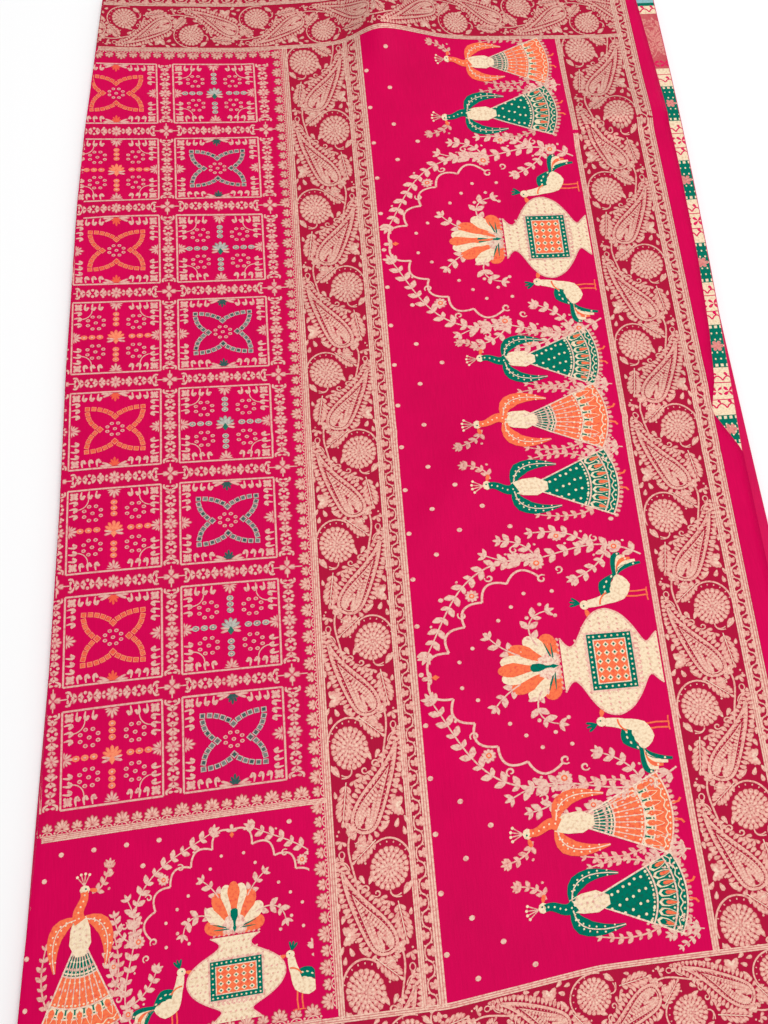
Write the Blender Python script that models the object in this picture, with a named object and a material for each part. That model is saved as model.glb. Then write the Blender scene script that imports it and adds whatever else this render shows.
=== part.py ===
"""A banarasi sari folded back and forth: one loom length of brocaded silk, with its borders, checks
and pallu woven in one with the ground, so that the whole of it is one sheet.

Metres, +Z up. The cloth's length runs along X, with the pallu's end at +X, and its width along Y,
with the far selvedge at +Y. Places on the cloth are counted in checks, the pitch of the woven grid:
along from the grid's first upright towards the pallu's end, across from the far border's inner line."""

import bmesh
import bpy
import numpy as np

# Driving sizes
CHECK = 0.096  # pitch of the woven check grid
THICKNESS = 0.001
GAP = 0.0005  # air between two layers
FAR_SELVEDGE, NEAR_SELVEDGE = 0.95, -10.72  # in checks, 1.12 m apart
FOLD_STEPS = 4  # flats round each fold

# How the top layer lies askew on the floor, in checks at the layer's corners
MIDDLE_ALONG, HALF_ALONG = 3.0, 3.0
MIDDLE_ACROSS, HALF_ACROSS = -5.5, 6.0
FAN, FAN_GROWTH, FAN_BEND = -0.328, 0.087, 0.147
SIDE_SPREAD, SIDE_BEND = -0.030, -0.044

# The top layer's two edges on the flat cloth, from the far selvedge to the near one
TOP_FOLD = (  # across, along
    (0.95, 0.385),
    (0.2, 0.305),
    (-1.0, 0.18),
    (-1.9, 0.115),
    (-3.8, 0.04),
    (-5.3, 0.014),
    (-7.1, -0.05),
    (-8.1, -0.10),
    (-9.0, -0.18),
    (-10.72, -0.32),
)
PALLU_END = (  # across, along: turned under a little down to the notch, then out to its full width
    (0.95, 6.00),
    (-0.4, 6.05),
    (-1.6, 6.07),
    (-2.9, 6.055),
    (-3.74, 6.02),
    (-4.35, 5.965),
    (-4.70, 5.89),
    (-5.15, 6.09),
    (-10.72, 6.11),
)

# The folds under the first one, from the top of the pile down, then the cloth's inner end
FOLDS = (  # x at the far end, middle and near end, and how far the selvedges there lie nearer
    (6.12, 6.10, 5.75, 0.50),
    (0.34, 0.06, -0.24, 0.12),
    (6.11, 6.165, 6.34, 0.42),
    (0.35, 0.05, -0.25, 0.10),
    (6.08, 6.145, 6.31, 0.35),
    (0.36, 0.07, -0.22, 0.15),
    (6.095, 6.135, 6.32, 0.30),
    (0.60, 0.35, 0.20, 0.12),
)
LAYERS = len(FOLDS) + 1
FAR_SHARE = 0.5  # how much of that shift the far selvedges take

# Soft ridges and creases that were not smoothed out, on the top layer
RIDGES = (  # along, across, half length along, half length across, height in metres
    (3.35, 1.20, 0.50, 1.70, 0.016),
    (3.24, 0.30, 0.38, 0.46, 0.013),
    (5.45, -1.00, 0.65, 0.26, 0.0070),
    (1.00, -2.05, 1.10, 0.24, 0.0030),
    (1.10, -5.20, 1.10, 1.10, 0.0030),
    (4.20, -7.20, 1.20, 1.50, 0.0025),
)
SHARE_BELOW = (1.0, 0.75, 0.5, 0.25)  # of a ridge's height that each layer from the top takes
FLAT_SHARE = 0.0  # what the layers under those take
EDGE_FADE = 0.35  # checks in which a ridge dies away towards a fold

# The grid that every layer is drawn on
COLUMNS = (0.75, 1.3, 1.9, 2.5, 2.9, 3.35, 3.8, 4.3, 4.9, 5.5)  # along
FLAT_COLUMNS = (1.9, 4.3)
STATIONS = (  # across
    0.30, -0.40, -0.80, -1.05, -1.30, -1.75, -2.05, -2.35, -3.00,
    -3.74, -4.35, -4.70, -5.15, -6.00, -7.20, -8.20, -9.10, -9.90,
)

SILK = (0.62, 0.004, 0.09, 1.0)


def clear_scene():
    for thing in list(bpy.data.objects):
        bpy.data.objects.remove(thing, do_unlink=True)


def silk_material():
    material = bpy.data.materials.new("brocaded silk")
    material.use_nodes = True
    shader = material.node_tree.nodes["Principled BSDF"]
    shader.inputs["Base Color"].default_value = SILK
    shader.inputs["Roughness"].default_value = 0.55
    shader.inputs["Metallic"].default_value = 0.0
    return material


def on_floor(along, across):
    """Where a point of the flat cloth lies, in checks, with the top layer's skew."""
    a = (along - MIDDLE_ALONG) / HALF_ALONG
    b = (across - MIDDLE_ACROSS) / HALF_ACROSS
    x = along + SIDE_SPREAD * a * a * b + SIDE_BEND * b**3
    y = across + FAN * a * b + FAN_GROWTH * a * a * b + FAN_BEND * a * b * b
    return x, y


def between(table, across):
    """The second column of a table read at a place across the cloth, whose first column falls."""
    rows = np.array(table)[::-1]
    return float(np.interp(across, rows[:, 0], rows[:, 1]))


def fold_x(fold, across):
    """A fold's x, on the parabola through its far end, middle and near end."""
    far, middle, near = fold[:3]
    half = (FAR_SELVEDGE - NEAR_SELVEDGE) / 2
    t = (across - (FAR_SELVEDGE + NEAR_SELVEDGE) / 2) / half
    return middle + (far - near) / 2 * t + ((far + near) / 2 - middle) * t * t


def ridge_height(x, y):
    height = 0.0
    for along, across, half_along, half_across, top in RIDGES:
        ridge_x, ridge_y = on_floor(along, across)
        away = ((x - ridge_x) / half_along) ** 2 + ((y - ridge_y) / half_across) ** 2
        height += top * np.exp(-away)
    return height


def layer_z(layer, x, y, left, right):
    """The height of a layer's middle, over the points of its left and right folds."""
    level = THICKNESS / 2 + (LAYERS - 1 - layer) * (THICKNESS + GAP)
    share = SHARE_BELOW[layer] if layer < len(SHARE_BELOW) else FLAT_SHARE
    fade = np.clip((x - left) / EDGE_FADE, 0, 1)
    if layer:
        fade *= np.clip((right - x) / EDGE_FADE, 0, 1)
    return level + share * fade * ridge_height(x, y)


def edges_at(across):
    """Each edge's x, y and selvedge shift, from the pallu's end through every fold to the inner end."""
    ends = [on_floor(between(PALLU_END, across), across), on_floor(between(TOP_FOLD, across), across)]
    edges = [(x, y, 0.0) for x, y in ends]
    for fold in FOLDS:
        x = fold_x(fold, across)
        edges.append((x, on_floor(x, across)[1], fold[3]))
    return edges


def section(across):
    """The folded cloth's middle line at one place across it, from the pallu's end to the inner end."""
    at_selvedge = across in (FAR_SELVEDGE, NEAR_SELVEDGE)
    edges = edges_at(across)
    points = []
    for layer in range(LAYERS):
        start, end = edges[layer], edges[layer + 1]
        left, right = sorted((start[0], end[0]))
        columns = COLUMNS if layer < len(SHARE_BELOW) else FLAT_COLUMNS
        inner = [on_floor(along, across) for along in columns]
        run = [start[:2], *(inner[::-1] if layer % 2 == 0 else inner), end[:2]]
        for index, (x, y) in enumerate(run):
            z = layer_z(layer, x, y, left, right)
            if at_selvedge:
                share = (x - start[0]) / (end[0] - start[0])
                shift = start[2] + (end[2] - start[2]) * share
                y -= shift * (FAR_SHARE if across == FAR_SELVEDGE else 1.0)
            free = (layer == 0 and index == 0) or (layer == LAYERS - 1 and index == len(run) - 1)
            if index in (0, len(run) - 1) and not free:
                radius = (THICKNESS + GAP) / 2
                x += radius / CHECK * (1 if x < edges[0][0] / 2 else -1)
            points.append((x * CHECK, y * CHECK, z))
        if layer < LAYERS - 1:
            points.extend(fold_arc(points[-1], outward=1 if layer % 2 else -1))
    return points


def fold_arc(above, outward):
    """The points of a fold between the last point of one layer and the first of the next."""
    x, y, z = above
    radius = (THICKNESS + GAP) / 2
    turns = np.linspace(np.pi / 2, -np.pi / 2, FOLD_STEPS + 1)[1:-1]
    return [(x + outward * radius * np.cos(t), y, z - radius + radius * np.sin(t)) for t in turns]


def folded_sari():
    stations = (FAR_SELVEDGE, *STATIONS, NEAR_SELVEDGE)
    sections = np.array([section(across) for across in stations])
    low, high = sections.min(axis=(0, 1)), sections.max(axis=(0, 1))
    sections[:, :, :2] -= (low[:2] + high[:2]) / 2

    steps_across, steps_along = sections.shape[0] - 1, sections.shape[1] - 1
    cloth = bmesh.new()
    bmesh.ops.create_grid(cloth, x_segments=steps_along, y_segments=steps_across, size=0.5)
    for vertex in cloth.verts:
        column = round((vertex.co.x + 0.5) * steps_along)
        row = round((vertex.co.y + 0.5) * steps_across)
        vertex.co = sections[row, column]
    mesh = bpy.data.meshes.new("sari")
    cloth.to_mesh(mesh)
    cloth.free()

    sari = bpy.data.objects.new("sari", mesh)
    bpy.context.scene.collection.objects.link(sari)
    thicken = sari.modifiers.new("cloth thickness", "SOLIDIFY")
    thicken.thickness = THICKNESS
    thicken.offset = 0.0
    thicken.use_even_offset = True
    return sari, sections


clear_scene()
sari, sections = folded_sari()
sari.data.materials.append(silk_material())
lengths = np.linalg.norm(np.diff(sections, axis=1), axis=2).sum(axis=1)
print(f"flat length {lengths.mean():.3f} m, width {(FAR_SELVEDGE - NEAR_SELVEDGE) * CHECK:.3f} m")
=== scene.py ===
import math

import bmesh
import bpy
import numpy as np
from mathutils import Matrix, Vector


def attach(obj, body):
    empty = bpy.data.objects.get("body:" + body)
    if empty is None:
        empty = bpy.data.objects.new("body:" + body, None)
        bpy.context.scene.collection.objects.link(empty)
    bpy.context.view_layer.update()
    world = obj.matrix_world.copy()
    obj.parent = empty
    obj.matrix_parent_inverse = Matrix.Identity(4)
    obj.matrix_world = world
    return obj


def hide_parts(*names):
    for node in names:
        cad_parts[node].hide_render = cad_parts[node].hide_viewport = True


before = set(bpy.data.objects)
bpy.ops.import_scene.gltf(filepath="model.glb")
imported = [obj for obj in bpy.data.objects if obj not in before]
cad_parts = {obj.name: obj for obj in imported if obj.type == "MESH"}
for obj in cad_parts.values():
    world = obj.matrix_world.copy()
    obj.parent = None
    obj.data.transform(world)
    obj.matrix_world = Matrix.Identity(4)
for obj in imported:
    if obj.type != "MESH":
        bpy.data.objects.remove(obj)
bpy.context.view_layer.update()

# ---------------------------------------------------------------------------
# The cloth: one loom length of silk, woven 1.12 m wide from selvedge to selvedge, and folded back
# and forth into nine layers with the pallu uppermost. Places on it are counted in checks, the pitch
# of the woven grid: along towards the pallu's end (+X), across towards the far selvedge (+Y).
# ---------------------------------------------------------------------------
CHECK = 0.096  # metres
FAR_SELVEDGE, NEAR_SELVEDGE = 0.95, -10.72
CLOTH_THICKNESS, LAYER_PITCH = 0.0007, 0.0015
LOWEST_MIDDLE = 0.0004  # metres from the floor to the middle of the lowest layer

# How the top layer lies askew on the floor, in checks at its corners
MIDDLE_ALONG, HALF_ALONG = 3.0, 3.0
MIDDLE_ACROSS, HALF_ACROSS = -5.5, 6.0
FAN, FAN_GROWTH, FAN_BEND = -0.328, 0.087, 0.147
SIDE_SPREAD, SIDE_BEND = -0.030, -0.044

TOP_FOLD = (  # across, along: the left fold, on the flat cloth
    (-10.72, -0.32), (-9.0, -0.18), (-8.1, -0.10), (-7.1, -0.05), (-5.3, 0.014),
    (-3.8, 0.04), (-1.9, 0.115), (-1.0, 0.18), (0.2, 0.305), (0.95, 0.385),
)
PALLU_END = (  # across, along: turned under a little down to the notch, then out to its full width
    (-10.72, 6.11), (-5.15, 6.09), (-4.70, 5.89), (-4.35, 5.965), (-3.74, 6.02),
    (-2.9, 6.055), (-1.6, 6.07), (-0.4, 6.05), (0.95, 6.00),
)
FOLDS = (  # x at the far end, middle and near end, and how far the selvedges there lie nearer
    (6.12, 6.10, 5.75, 0.50),
    (0.34, 0.06, -0.24, 0.12),
    (6.11, 6.165, 6.34, 0.42),
    (0.35, 0.05, -0.25, 0.10),
    (6.08, 6.145, 6.31, 0.35),
    (0.36, 0.07, -0.22, 0.15),
    (6.095, 6.135, 6.32, 0.30),
    (0.60, 0.35, 0.20, 0.12),
)
LAYERS = len(FOLDS) + 1
FAR_SHARE = 0.5  # how much of that shift the far selvedges take
SHIFT_FROM, SHIFT_REACH = 4.4, 1.4  # how far out from the middle the shift starts, and then grows

# How the two long borders were pulled out or in, at places along them
FAR_WAVER = (
    (-0.2, 0.080), (0.6, 0.040), (1.8, 0.015), (2.3, 0.045), (2.8, 0.075), (3.2, 0.110), (3.7, 0.110),
    (4.2, 0.090), (4.8, 0.060), (5.5, 0.010),
)
NEAR_WAVER = ((0.6, 0.0), (2.05, -0.03), (3.05, -0.09), (3.6, -0.05), (4.2, 0.0), (5.5, -0.03))
FAR_WAVER_FULL, NEAR_WAVER_FULL = 0.45, -9.7  # across: from here outwards a waver is at its full

# Ridges and creases not smoothed out of the top layer
CREASES = (  # along, across, turn in degrees, half length, half widths left and right, metres high
    (3.32, 1.20, 90, 1.60, 0.34, 0.55, 0.0160),
    (3.24, 0.30, 90, 0.44, 0.28, 0.46, 0.0130),
    (5.45, -1.14, 11, 0.62, 0.45, 0.090, 0.0095),
    (1.10, -2.05, 0, 1.10, 0.22, 0.095, 0.0034),
    (1.10, -5.20, 0, 1.10, 1.10, 1.10, 0.0028),
    (4.20, -7.20, 80, 1.50, 1.20, 1.20, 0.0025),
    (5.60, -4.45, 12, 0.70, 0.22, 0.090, 0.0028),
    (3.75, -1.75, 50, 0.60, 0.16, 0.16, 0.0034),
    (4.05, -3.90, 78, 1.60, 0.22, 0.26, 0.0026),
    (3.60, -5.20, 55, 0.80, 0.20, 0.20, 0.0032),
    (3.30, -7.60, 98, 1.30, 0.22, 0.22, 0.0026),
    (2.05, -3.40, 4, 0.90, 0.20, 0.20, 0.0018),
    (0.95, -7.05, -3, 1.00, 0.16, 0.24, 0.0026),
    (4.60, -9.30, 10, 1.20, 0.35, 0.35, 0.0034),
)
SHARE_BELOW = (1.0, 0.75, 0.5, 0.25)  # of a crease's height that each layer from the top takes
EDGE_FADE = 0.35  # in checks: where it dies away towards a fold

# The cells of the cloth's mesh: across it, round a fold, and along each layer from the top
CLOTH_ROWS, FOLD_STEPS = 160, 6
LAYER_STEPS = (84, 44, 24, 24, 6, 6, 6, 6, 6)


def from_table(table, place):
    """The value that a table of places and values gives at a place."""
    places, values = np.array(table).T
    return np.interp(place, places, values)


def heading(turn):
    """The cosine and the sine of a turn told in degrees."""
    angle = math.radians(turn)
    return math.cos(angle), math.sin(angle)


def on_floor(along, across):
    """Where a point of the flat cloth lies, in checks, with the top layer's skew and the wavers
    that its two long borders were pulled into."""
    a = (along - MIDDLE_ALONG) / HALF_ALONG
    b = (across - MIDDLE_ACROSS) / HALF_ACROSS
    x = along + SIDE_SPREAD * a * a * b + SIDE_BEND * b**3
    y = across + FAN * a * b + FAN_GROWTH * a * a * b + FAN_BEND * a * b * b
    y = y + from_table(FAR_WAVER, along) * np.exp(-(np.minimum(across - FAR_WAVER_FULL, 0) ** 2))
    y = y + from_table(NEAR_WAVER, along) * np.exp(-(np.maximum(across - NEAR_WAVER_FULL, 0) ** 2))
    return x, y


def fold_x(fold, across):
    """A fold's x, on the parabola through its far end, middle and near end."""
    far, middle, near = fold[:3]
    half = (FAR_SELVEDGE - NEAR_SELVEDGE) / 2
    t = (across - (FAR_SELVEDGE + NEAR_SELVEDGE) / 2) / half
    return middle + (far - near) / 2 * t + ((far + near) / 2 - middle) * t * t


def crease_height(x, y):
    """How far the creases lift a place on the floor, in metres."""
    height = np.zeros_like(x)
    for along, across, turn, half_length, left, right, top in CREASES:
        middle_x, middle_y = on_floor(along, across)
        c, s = heading(turn)
        lengthways = ((x - middle_x) * c + (y - middle_y) * s) / half_length
        sideways = (y - middle_y) * c - (x - middle_x) * s
        sideways = sideways / np.where(sideways > 0, left, right)
        height = height + top * np.exp(-(lengthways**2) - sideways**2)
    return height


def folded_sections():
    """The cloth's middle surface, a row of points for each station across it, from the pallu's end
    to the inner end, and the pile's centre."""
    across = np.linspace(NEAR_SELVEDGE, FAR_SELVEDGE, CLOTH_ROWS + 1)[:, None]
    edges = [(*on_floor(from_table(t, across), across), 0.0) for t in (PALLU_END, TOP_FOLD)]
    for fold in FOLDS:
        x = fold_x(fold, across)
        edges.append((x, on_floor(x, across)[1], fold[3]))
    runs = []
    radius = LAYER_PITCH / 2
    for layer in range(LAYERS):
        (start_x, _, start_shift), (end_x, _, end_shift) = edges[layer : layer + 2]
        share = np.linspace(0, 1, LAYER_STEPS[layer] + 1)[None, :]
        if layer == 0:
            along = from_table(PALLU_END, across) * (1 - share) + from_table(TOP_FOLD, across) * share
            x, y = on_floor(along, across)
        else:
            x = start_x * (1 - share) + end_x * share
            y = on_floor(x, across)[1]
        # A layer under the top one drifts nearer towards its selvedges
        near_edge = np.clip((np.abs(across - MIDDLE_ACROSS) - SHIFT_FROM) / SHIFT_REACH, 0, 1)
        near_edge = near_edge * np.where(across > MIDDLE_ACROSS, FAR_SHARE, 1.0)
        y = y - near_edge * (start_shift * (1 - share) + end_shift * share)
        fade = np.clip((x - np.minimum(start_x, end_x)) / EDGE_FADE, 0, 1)
        if layer:
            fade = fade * np.clip((np.maximum(start_x, end_x) - x) / EDGE_FADE, 0, 1)
        taken = SHARE_BELOW[layer] if layer < len(SHARE_BELOW) else 0.0
        z = LOWEST_MIDDLE + (LAYERS - 1 - layer) * LAYER_PITCH
        z = z + taken * fade * fade * (3 - 2 * fade) * crease_height(x, y)
        run = np.stack([x * CHECK, y * CHECK, z], axis=2)
        outward = 1 if layer % 2 else -1  # the way that the fold at the layer's end bulges
        if layer:
            run[:, 0, 0] += outward * radius
        runs.append(run)
        if layer < LAYERS - 1:
            run[:, -1, 0] -= outward * radius
            for turn in np.linspace(math.pi / 2, -math.pi / 2, FOLD_STEPS + 1)[1:-1]:
                arc = run[:, -1:, :].copy()
                arc[:, :, 0] += outward * radius * math.cos(turn)
                arc[:, :, 2] += radius * (math.sin(turn) - 1)
                runs.append(arc)
    sections = np.concatenate(runs, axis=1)
    centre = (sections.min(axis=(0, 1)) + sections.max(axis=(0, 1)))[:2] / 2
    sections[:, :, :2] -= centre
    return sections, centre


sections, pile_centre = folded_sections()
# Each point's place along the flat cloth, in checks: the grid's own count goes on round the folds
across_rows = np.linspace(NEAR_SELVEDGE, FAR_SELVEDGE, CLOTH_ROWS + 1)
run_length = np.cumsum(np.linalg.norm(np.diff(sections, axis=1), axis=2), axis=1) / CHECK
share = np.linspace(0, 1, LAYER_STEPS[0] + 1)[None, :]
along_top = from_table(PALLU_END, across_rows)[:, None] * (1 - share)
along_top = along_top + from_table(TOP_FOLD, across_rows)[:, None] * share
past_fold = run_length[:, LAYER_STEPS[0] :] - run_length[:, LAYER_STEPS[0] - 1 : LAYER_STEPS[0]]
flat_along = np.concatenate([along_top, along_top[:, -1:] - past_fold], axis=1)
down_the_row, down_the_column = np.gradient(sections, axis=1), np.gradient(sections, axis=0)
section_normals = np.cross(down_the_column, down_the_row)
section_normals /= np.linalg.norm(section_normals, axis=2, keepdims=True)
rows_deep, columns_long = sections.shape[:2]

cloth = bmesh.new()
for side in (1, -1):
    grid = bmesh.ops.create_grid(cloth, x_segments=columns_long - 1, y_segments=rows_deep - 1, size=0.5)
    surface = sections + section_normals * (side * CLOTH_THICKNESS / 2)
    for index, vertex in enumerate(grid["verts"]):
        vertex.co = surface[divmod(index, columns_long)]
    if side == 1:  # the grid runs leftwards along the top, so its face side starts downwards
        bmesh.ops.reverse_faces(cloth, faces=cloth.faces)
edges_all_round = [edge for edge in cloth.edges if edge.is_boundary]
bmesh.ops.bridge_loops(cloth, edges=edges_all_round)
sari_cloth_mesh = bpy.data.meshes.new("sari_cloth")
cloth.to_mesh(sari_cloth_mesh)
cloth.free()
sari_cloth_mesh.shade_smooth()

# Two maps: the loom's own, in metres, and one for the finish, where the top layer takes most room
FINISH_ENDS = (0.01, 0.62, 0.80, 0.99)  # along it: the pallu, the ends of two layers, the inner end
FACE_START, FACE_REACH, REVERSE_START, REVERSE_REACH = 0.01, 0.66, 0.70, 0.29
RIM_REACH = 0.004
top_end, second_end = LAYER_STEPS[0], LAYER_STEPS[0] + FOLD_STEPS + LAYER_STEPS[1]
finish_along = np.interp(np.arange(columns_long), (0, top_end, second_end, columns_long - 1), FINISH_ENDS)
corner_vertex = np.empty(len(sari_cloth_mesh.loops), int)
sari_cloth_mesh.loops.foreach_get("vertex_index", corner_vertex)
on_reverse = corner_vertex >= rows_deep * columns_long
row, column = np.divmod(corner_vertex % (rows_deep * columns_long), columns_long)
loom_u, loom_v = flat_along[row, column] * CHECK, across_rows[row] * CHECK
reverse_faces = np.minimum.reduceat(on_reverse, np.arange(0, len(corner_vertex), 4))
rim = on_reverse & ~np.repeat(reverse_faces, 4)
outward = (column == columns_long - 1) * 1 - (column == 0)
finish_u = finish_along[column] + RIM_REACH * rim * outward
face_v = FACE_START + FACE_REACH * row / CLOTH_ROWS
finish_v = np.where(on_reverse & ~rim, REVERSE_START + REVERSE_REACH * row / CLOTH_ROWS, face_v)
finish_v = finish_v + RIM_REACH * rim * (row > 0) - RIM_REACH * rim * (row == 0)
for name, u, v in (("OFBake", finish_u, finish_v), ("loom", loom_u, loom_v)):
    layer = sari_cloth_mesh.uv_layers.new(name=name)
    layer.uv.foreach_set("vector", np.stack([u, v], axis=1).astype(np.float32).ravel())
sari_cloth_mesh.polygons.foreach_set("material_index", reverse_faces.astype(np.int32))

sari_cloth = bpy.data.objects.new("sari_cloth", sari_cloth_mesh)
bpy.context.scene.collection.objects.link(sari_cloth)
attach(sari_cloth, "root")
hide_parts("sari")


# The woven silk: a crosswise rib, slubs along it, and soft clouds of painted shade that darken its colours
# in patches
def node(tree, kind, settings=None, **inputs):
    """A new node, with its settings, and its inputs given by name as values or as other sockets."""
    made = tree.nodes.new("ShaderNode" + kind)
    for name, value in (settings or {}).items():
        setattr(made, name, value)
    for name, value in inputs.items():
        socket = made.inputs[int(name[1:])] if name[1:].isdigit() else made.inputs[name.replace("_", " ")]
        if isinstance(value, bpy.types.NodeSocket):
            tree.links.new(value, socket)
        else:
            socket.default_value = value
    return made


def sums(tree, operation, first, second=0.0, third=0.0):
    return node(tree, "Math", {"operation": operation}, i0=first, i1=second, i2=third).outputs[0]


def mixed(tree, factor, first, second):
    return node(tree, "Mix", {"data_type": "RGBA"}, i0=factor, i6=first, i7=second).outputs[2]


RIB_PITCH, RIB_SHARE = 0.0011, 0.35
SLUB_SCALE, CLOUD_SCALE = (900.0, 60.0, 1.0), 14.0
weave = bpy.data.node_groups.new("woven silk", "ShaderNodeTree")
for socket, kind in (("Place", "NodeSocketVector"), ("Rib Pitch", "NodeSocketFloat")):
    weave.interface.new_socket(socket, in_out="INPUT", socket_type=kind)
for socket in ("Height", "Slubs", "Clouds"):
    weave.interface.new_socket(socket, in_out="OUTPUT", socket_type="NodeSocketFloat")
weave_in, weave_out = weave.nodes.new("NodeGroupInput"), weave.nodes.new("NodeGroupOutput")
place_parts = node(weave, "SeparateXYZ", Vector=weave_in.outputs["Place"])
ribs = []
for axis in ("X", "Y"):
    turns = sums(weave, "DIVIDE", place_parts.outputs[axis], weave_in.outputs["Rib Pitch"])
    ribs.append(sums(weave, "SINE", sums(weave, "MULTIPLY", turns, 2 * math.pi)))
stretched = node(weave, "Mapping", Vector=weave_in.outputs["Place"], Scale=SLUB_SCALE)
slubs = node(weave, "TexNoise", Vector=stretched.outputs[0], Scale=1.0, Detail=2.0)
clouds = node(weave, "TexNoise", Vector=weave_in.outputs["Place"], Scale=CLOUD_SCALE, Detail=3.0)
height = sums(weave, "MULTIPLY_ADD", sums(weave, "MULTIPLY", *ribs), RIB_SHARE, slubs.outputs[0])
weave.links.new(height, weave_out.inputs["Height"])
weave.links.new(slubs.outputs[0], weave_out.inputs["Slubs"])
weave.links.new(clouds.outputs[0], weave_out.inputs["Clouds"])


def silk(name, colour, roughness, sheen, sheen_tint, metallic=0.0):
    """A new silk material and its parts, with the weave's group reading the loom's own map."""
    material = bpy.data.materials.new(name)
    material.use_nodes = True
    tree = material.node_tree
    shader = tree.nodes["Principled BSDF"]
    for socket, value in (
        ("Base Color", (*colour, 1.0)), ("Roughness", roughness), ("Metallic", metallic),
        ("Sheen Weight", sheen), ("Sheen Roughness", 0.4), ("Sheen Tint", (*sheen_tint, 1.0)),
        ("Specular IOR Level", 0.2), ("Specular Tint", (*sheen_tint, 1.0)),
    ):
        shader.inputs[socket].default_value = value
    loom = node(tree, "UVMap", {"uv_map": "loom"}).outputs[0]
    woven = tree.nodes.new("ShaderNodeGroup")
    woven.node_tree = weave
    woven.inputs["Rib Pitch"].default_value = RIB_PITCH
    tree.links.new(loom, woven.inputs["Place"])
    return material, tree, shader, loom, woven


RELIEF = 0.0002  # metres that the weave's height stands for


def finish_silk(tree, shader, woven, colour, rough, strength):
    """Links a silk's colour, its roughness and the relief of its weave to its shader."""
    bump = node(tree, "Bump", Strength=strength, Distance=RELIEF, Height=woven.outputs["Height"])
    for value, socket in ((colour, "Base Color"), (rough, "Roughness"), (bump.outputs[0], "Normal")):
        tree.links.new(value, shader.inputs[socket])


# The magenta, and the darker painted shade that the soft clouds mix into it
MAGENTA, PAINTED_SHADE_MAGENTA = (0.70, 0.000, 0.086, 1), (0.52, 0.000, 0.060, 1)
CRIMSON, GRID_CRIMSON = (0.40, 0.006, 0.034, 1), (0.50, 0.003, 0.050, 1)
REVERSE_PINK, REVERSE_SHARE = (0.62, 0.05, 0.14, 1), 0.15
FAR_BORDER, NEAR_BORDER = 0.11, -9.80  # the inner lines of the two long borders, in checks
BAND_LEFT, BAND_RIGHT = (2.24, 3.03), (5.12, 5.90)
GRID_ALONG, GRID_ACROSS = (-0.5, 2.20), (-8.08, 0.0)  # how far the check grid reaches
GRID_SHARE = 0.4  # how far the grid's ground, round the squares, turns to crimson
SQUARE_HALF_WIDE, SQUARE_HALF_HIGH = 0.41, 0.39


def between(tree, value, low, high):
    above = sums(tree, "GREATER_THAN", value, low)
    return sums(tree, "MULTIPLY", above, sums(tree, "LESS_THAN", value, high))


def off_middle(tree, place):
    """How far a place is from the middle of its check, in checks."""
    return sums(tree, "ABSOLUTE", sums(tree, "SUBTRACT", sums(tree, "FRACT", place), 0.5))


def ground_material(name, reverse):
    """The ground's silk: magenta under soft clouds of painted shade, and on its face crimson under the
    borders and the bands.
    """
    material, tree, shader, loom, woven = silk(name, MAGENTA[:3], 0.46, 0.06, (1.0, 0.08, 0.30))
    parts = node(tree, "SeparateXYZ", Vector=loom)
    along, across = (sums(tree, "DIVIDE", parts.outputs[axis], CHECK) for axis in ("X", "Y"))
    # Soft clouds of painted shade darken the magenta in patches
    shade = mixed(tree, woven.outputs["Clouds"], PAINTED_SHADE_MAGENTA, MAGENTA)
    squares = sums(
        tree, "MULTIPLY", sums(tree, "LESS_THAN", off_middle(tree, along), SQUARE_HALF_WIDE),
        sums(tree, "LESS_THAN", off_middle(tree, across), SQUARE_HALF_HIGH)
    )
    grid = sums(tree, "MULTIPLY", between(tree, along, *GRID_ALONG), between(tree, across, *GRID_ACROSS))
    grid = sums(tree, "MULTIPLY", grid, sums(tree, "SUBTRACT", 1.0, squares))
    shade = mixed(tree, sums(tree, "MULTIPLY", grid, GRID_SHARE), shade, GRID_CRIMSON)
    if reverse:
        colour = mixed(tree, REVERSE_SHARE, shade, REVERSE_PINK)
    else:
        far_border = sums(tree, "GREATER_THAN", across, FAR_BORDER)
        brocaded = sums(tree, "MAXIMUM", far_border, sums(tree, "LESS_THAN", across, NEAR_BORDER))
        brocaded = sums(tree, "MULTIPLY", brocaded, sums(tree, "LESS_THAN", along, BAND_RIGHT[1]))
        for band in (BAND_LEFT, BAND_RIGHT):
            brocaded = sums(tree, "MAXIMUM", brocaded, between(tree, along, *band))
        colour = mixed(tree, brocaded, shade, CRIMSON)
    streak = sums(tree, "MULTIPLY_ADD", woven.outputs["Slubs"], 0.24, 0.88)
    streaked = node(tree, "VectorMath", {"operation": "SCALE"}, i0=colour, Scale=streak).outputs[0]
    rough = sums(tree, "MULTIPLY_ADD", woven.outputs["Clouds"], 0.12, 0.40)
    finish_silk(tree, shader, woven, streaked, rough, 0.35)
    return material


sari_cloth_mesh.materials.append(ground_material("silk ground", False))
sari_cloth_mesh.materials.append(ground_material("silk reverse", True))

# ---------------------------------------------------------------------------
# The floor, the light and the camera: a plain pale floor under a wide soft light, and a camera
# that looks down on the pile from its near side.
# ---------------------------------------------------------------------------
floor_shape = bmesh.new()
bmesh.ops.create_grid(floor_shape, x_segments=1, y_segments=1, size=6.0)
floor_mesh = bpy.data.meshes.new("floor")
floor_shape.to_mesh(floor_mesh)
floor_shape.free()
floor = bpy.data.objects.new("floor", floor_mesh)
bpy.context.scene.collection.objects.link(floor)
floor_material = bpy.data.materials.new("pale floor")
floor_material.use_nodes = True
floor_tree = floor_material.node_tree
floor_noise = node(floor_tree, "TexNoise", Scale=3.0, Detail=2.0)
floor_colour = mixed(floor_tree, floor_noise.outputs[0], (0.93, 0.93, 0.93, 1), (0.97, 0.97, 0.97, 1))
floor_shader = floor_tree.nodes["Principled BSDF"]
floor_tree.links.new(floor_colour, floor_shader.inputs["Base Color"])
floor_shader.inputs["Roughness"].default_value = 0.9
floor_shader.inputs["Specular IOR Level"].default_value = 0.1
floor_mesh.materials.append(floor_material)

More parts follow.
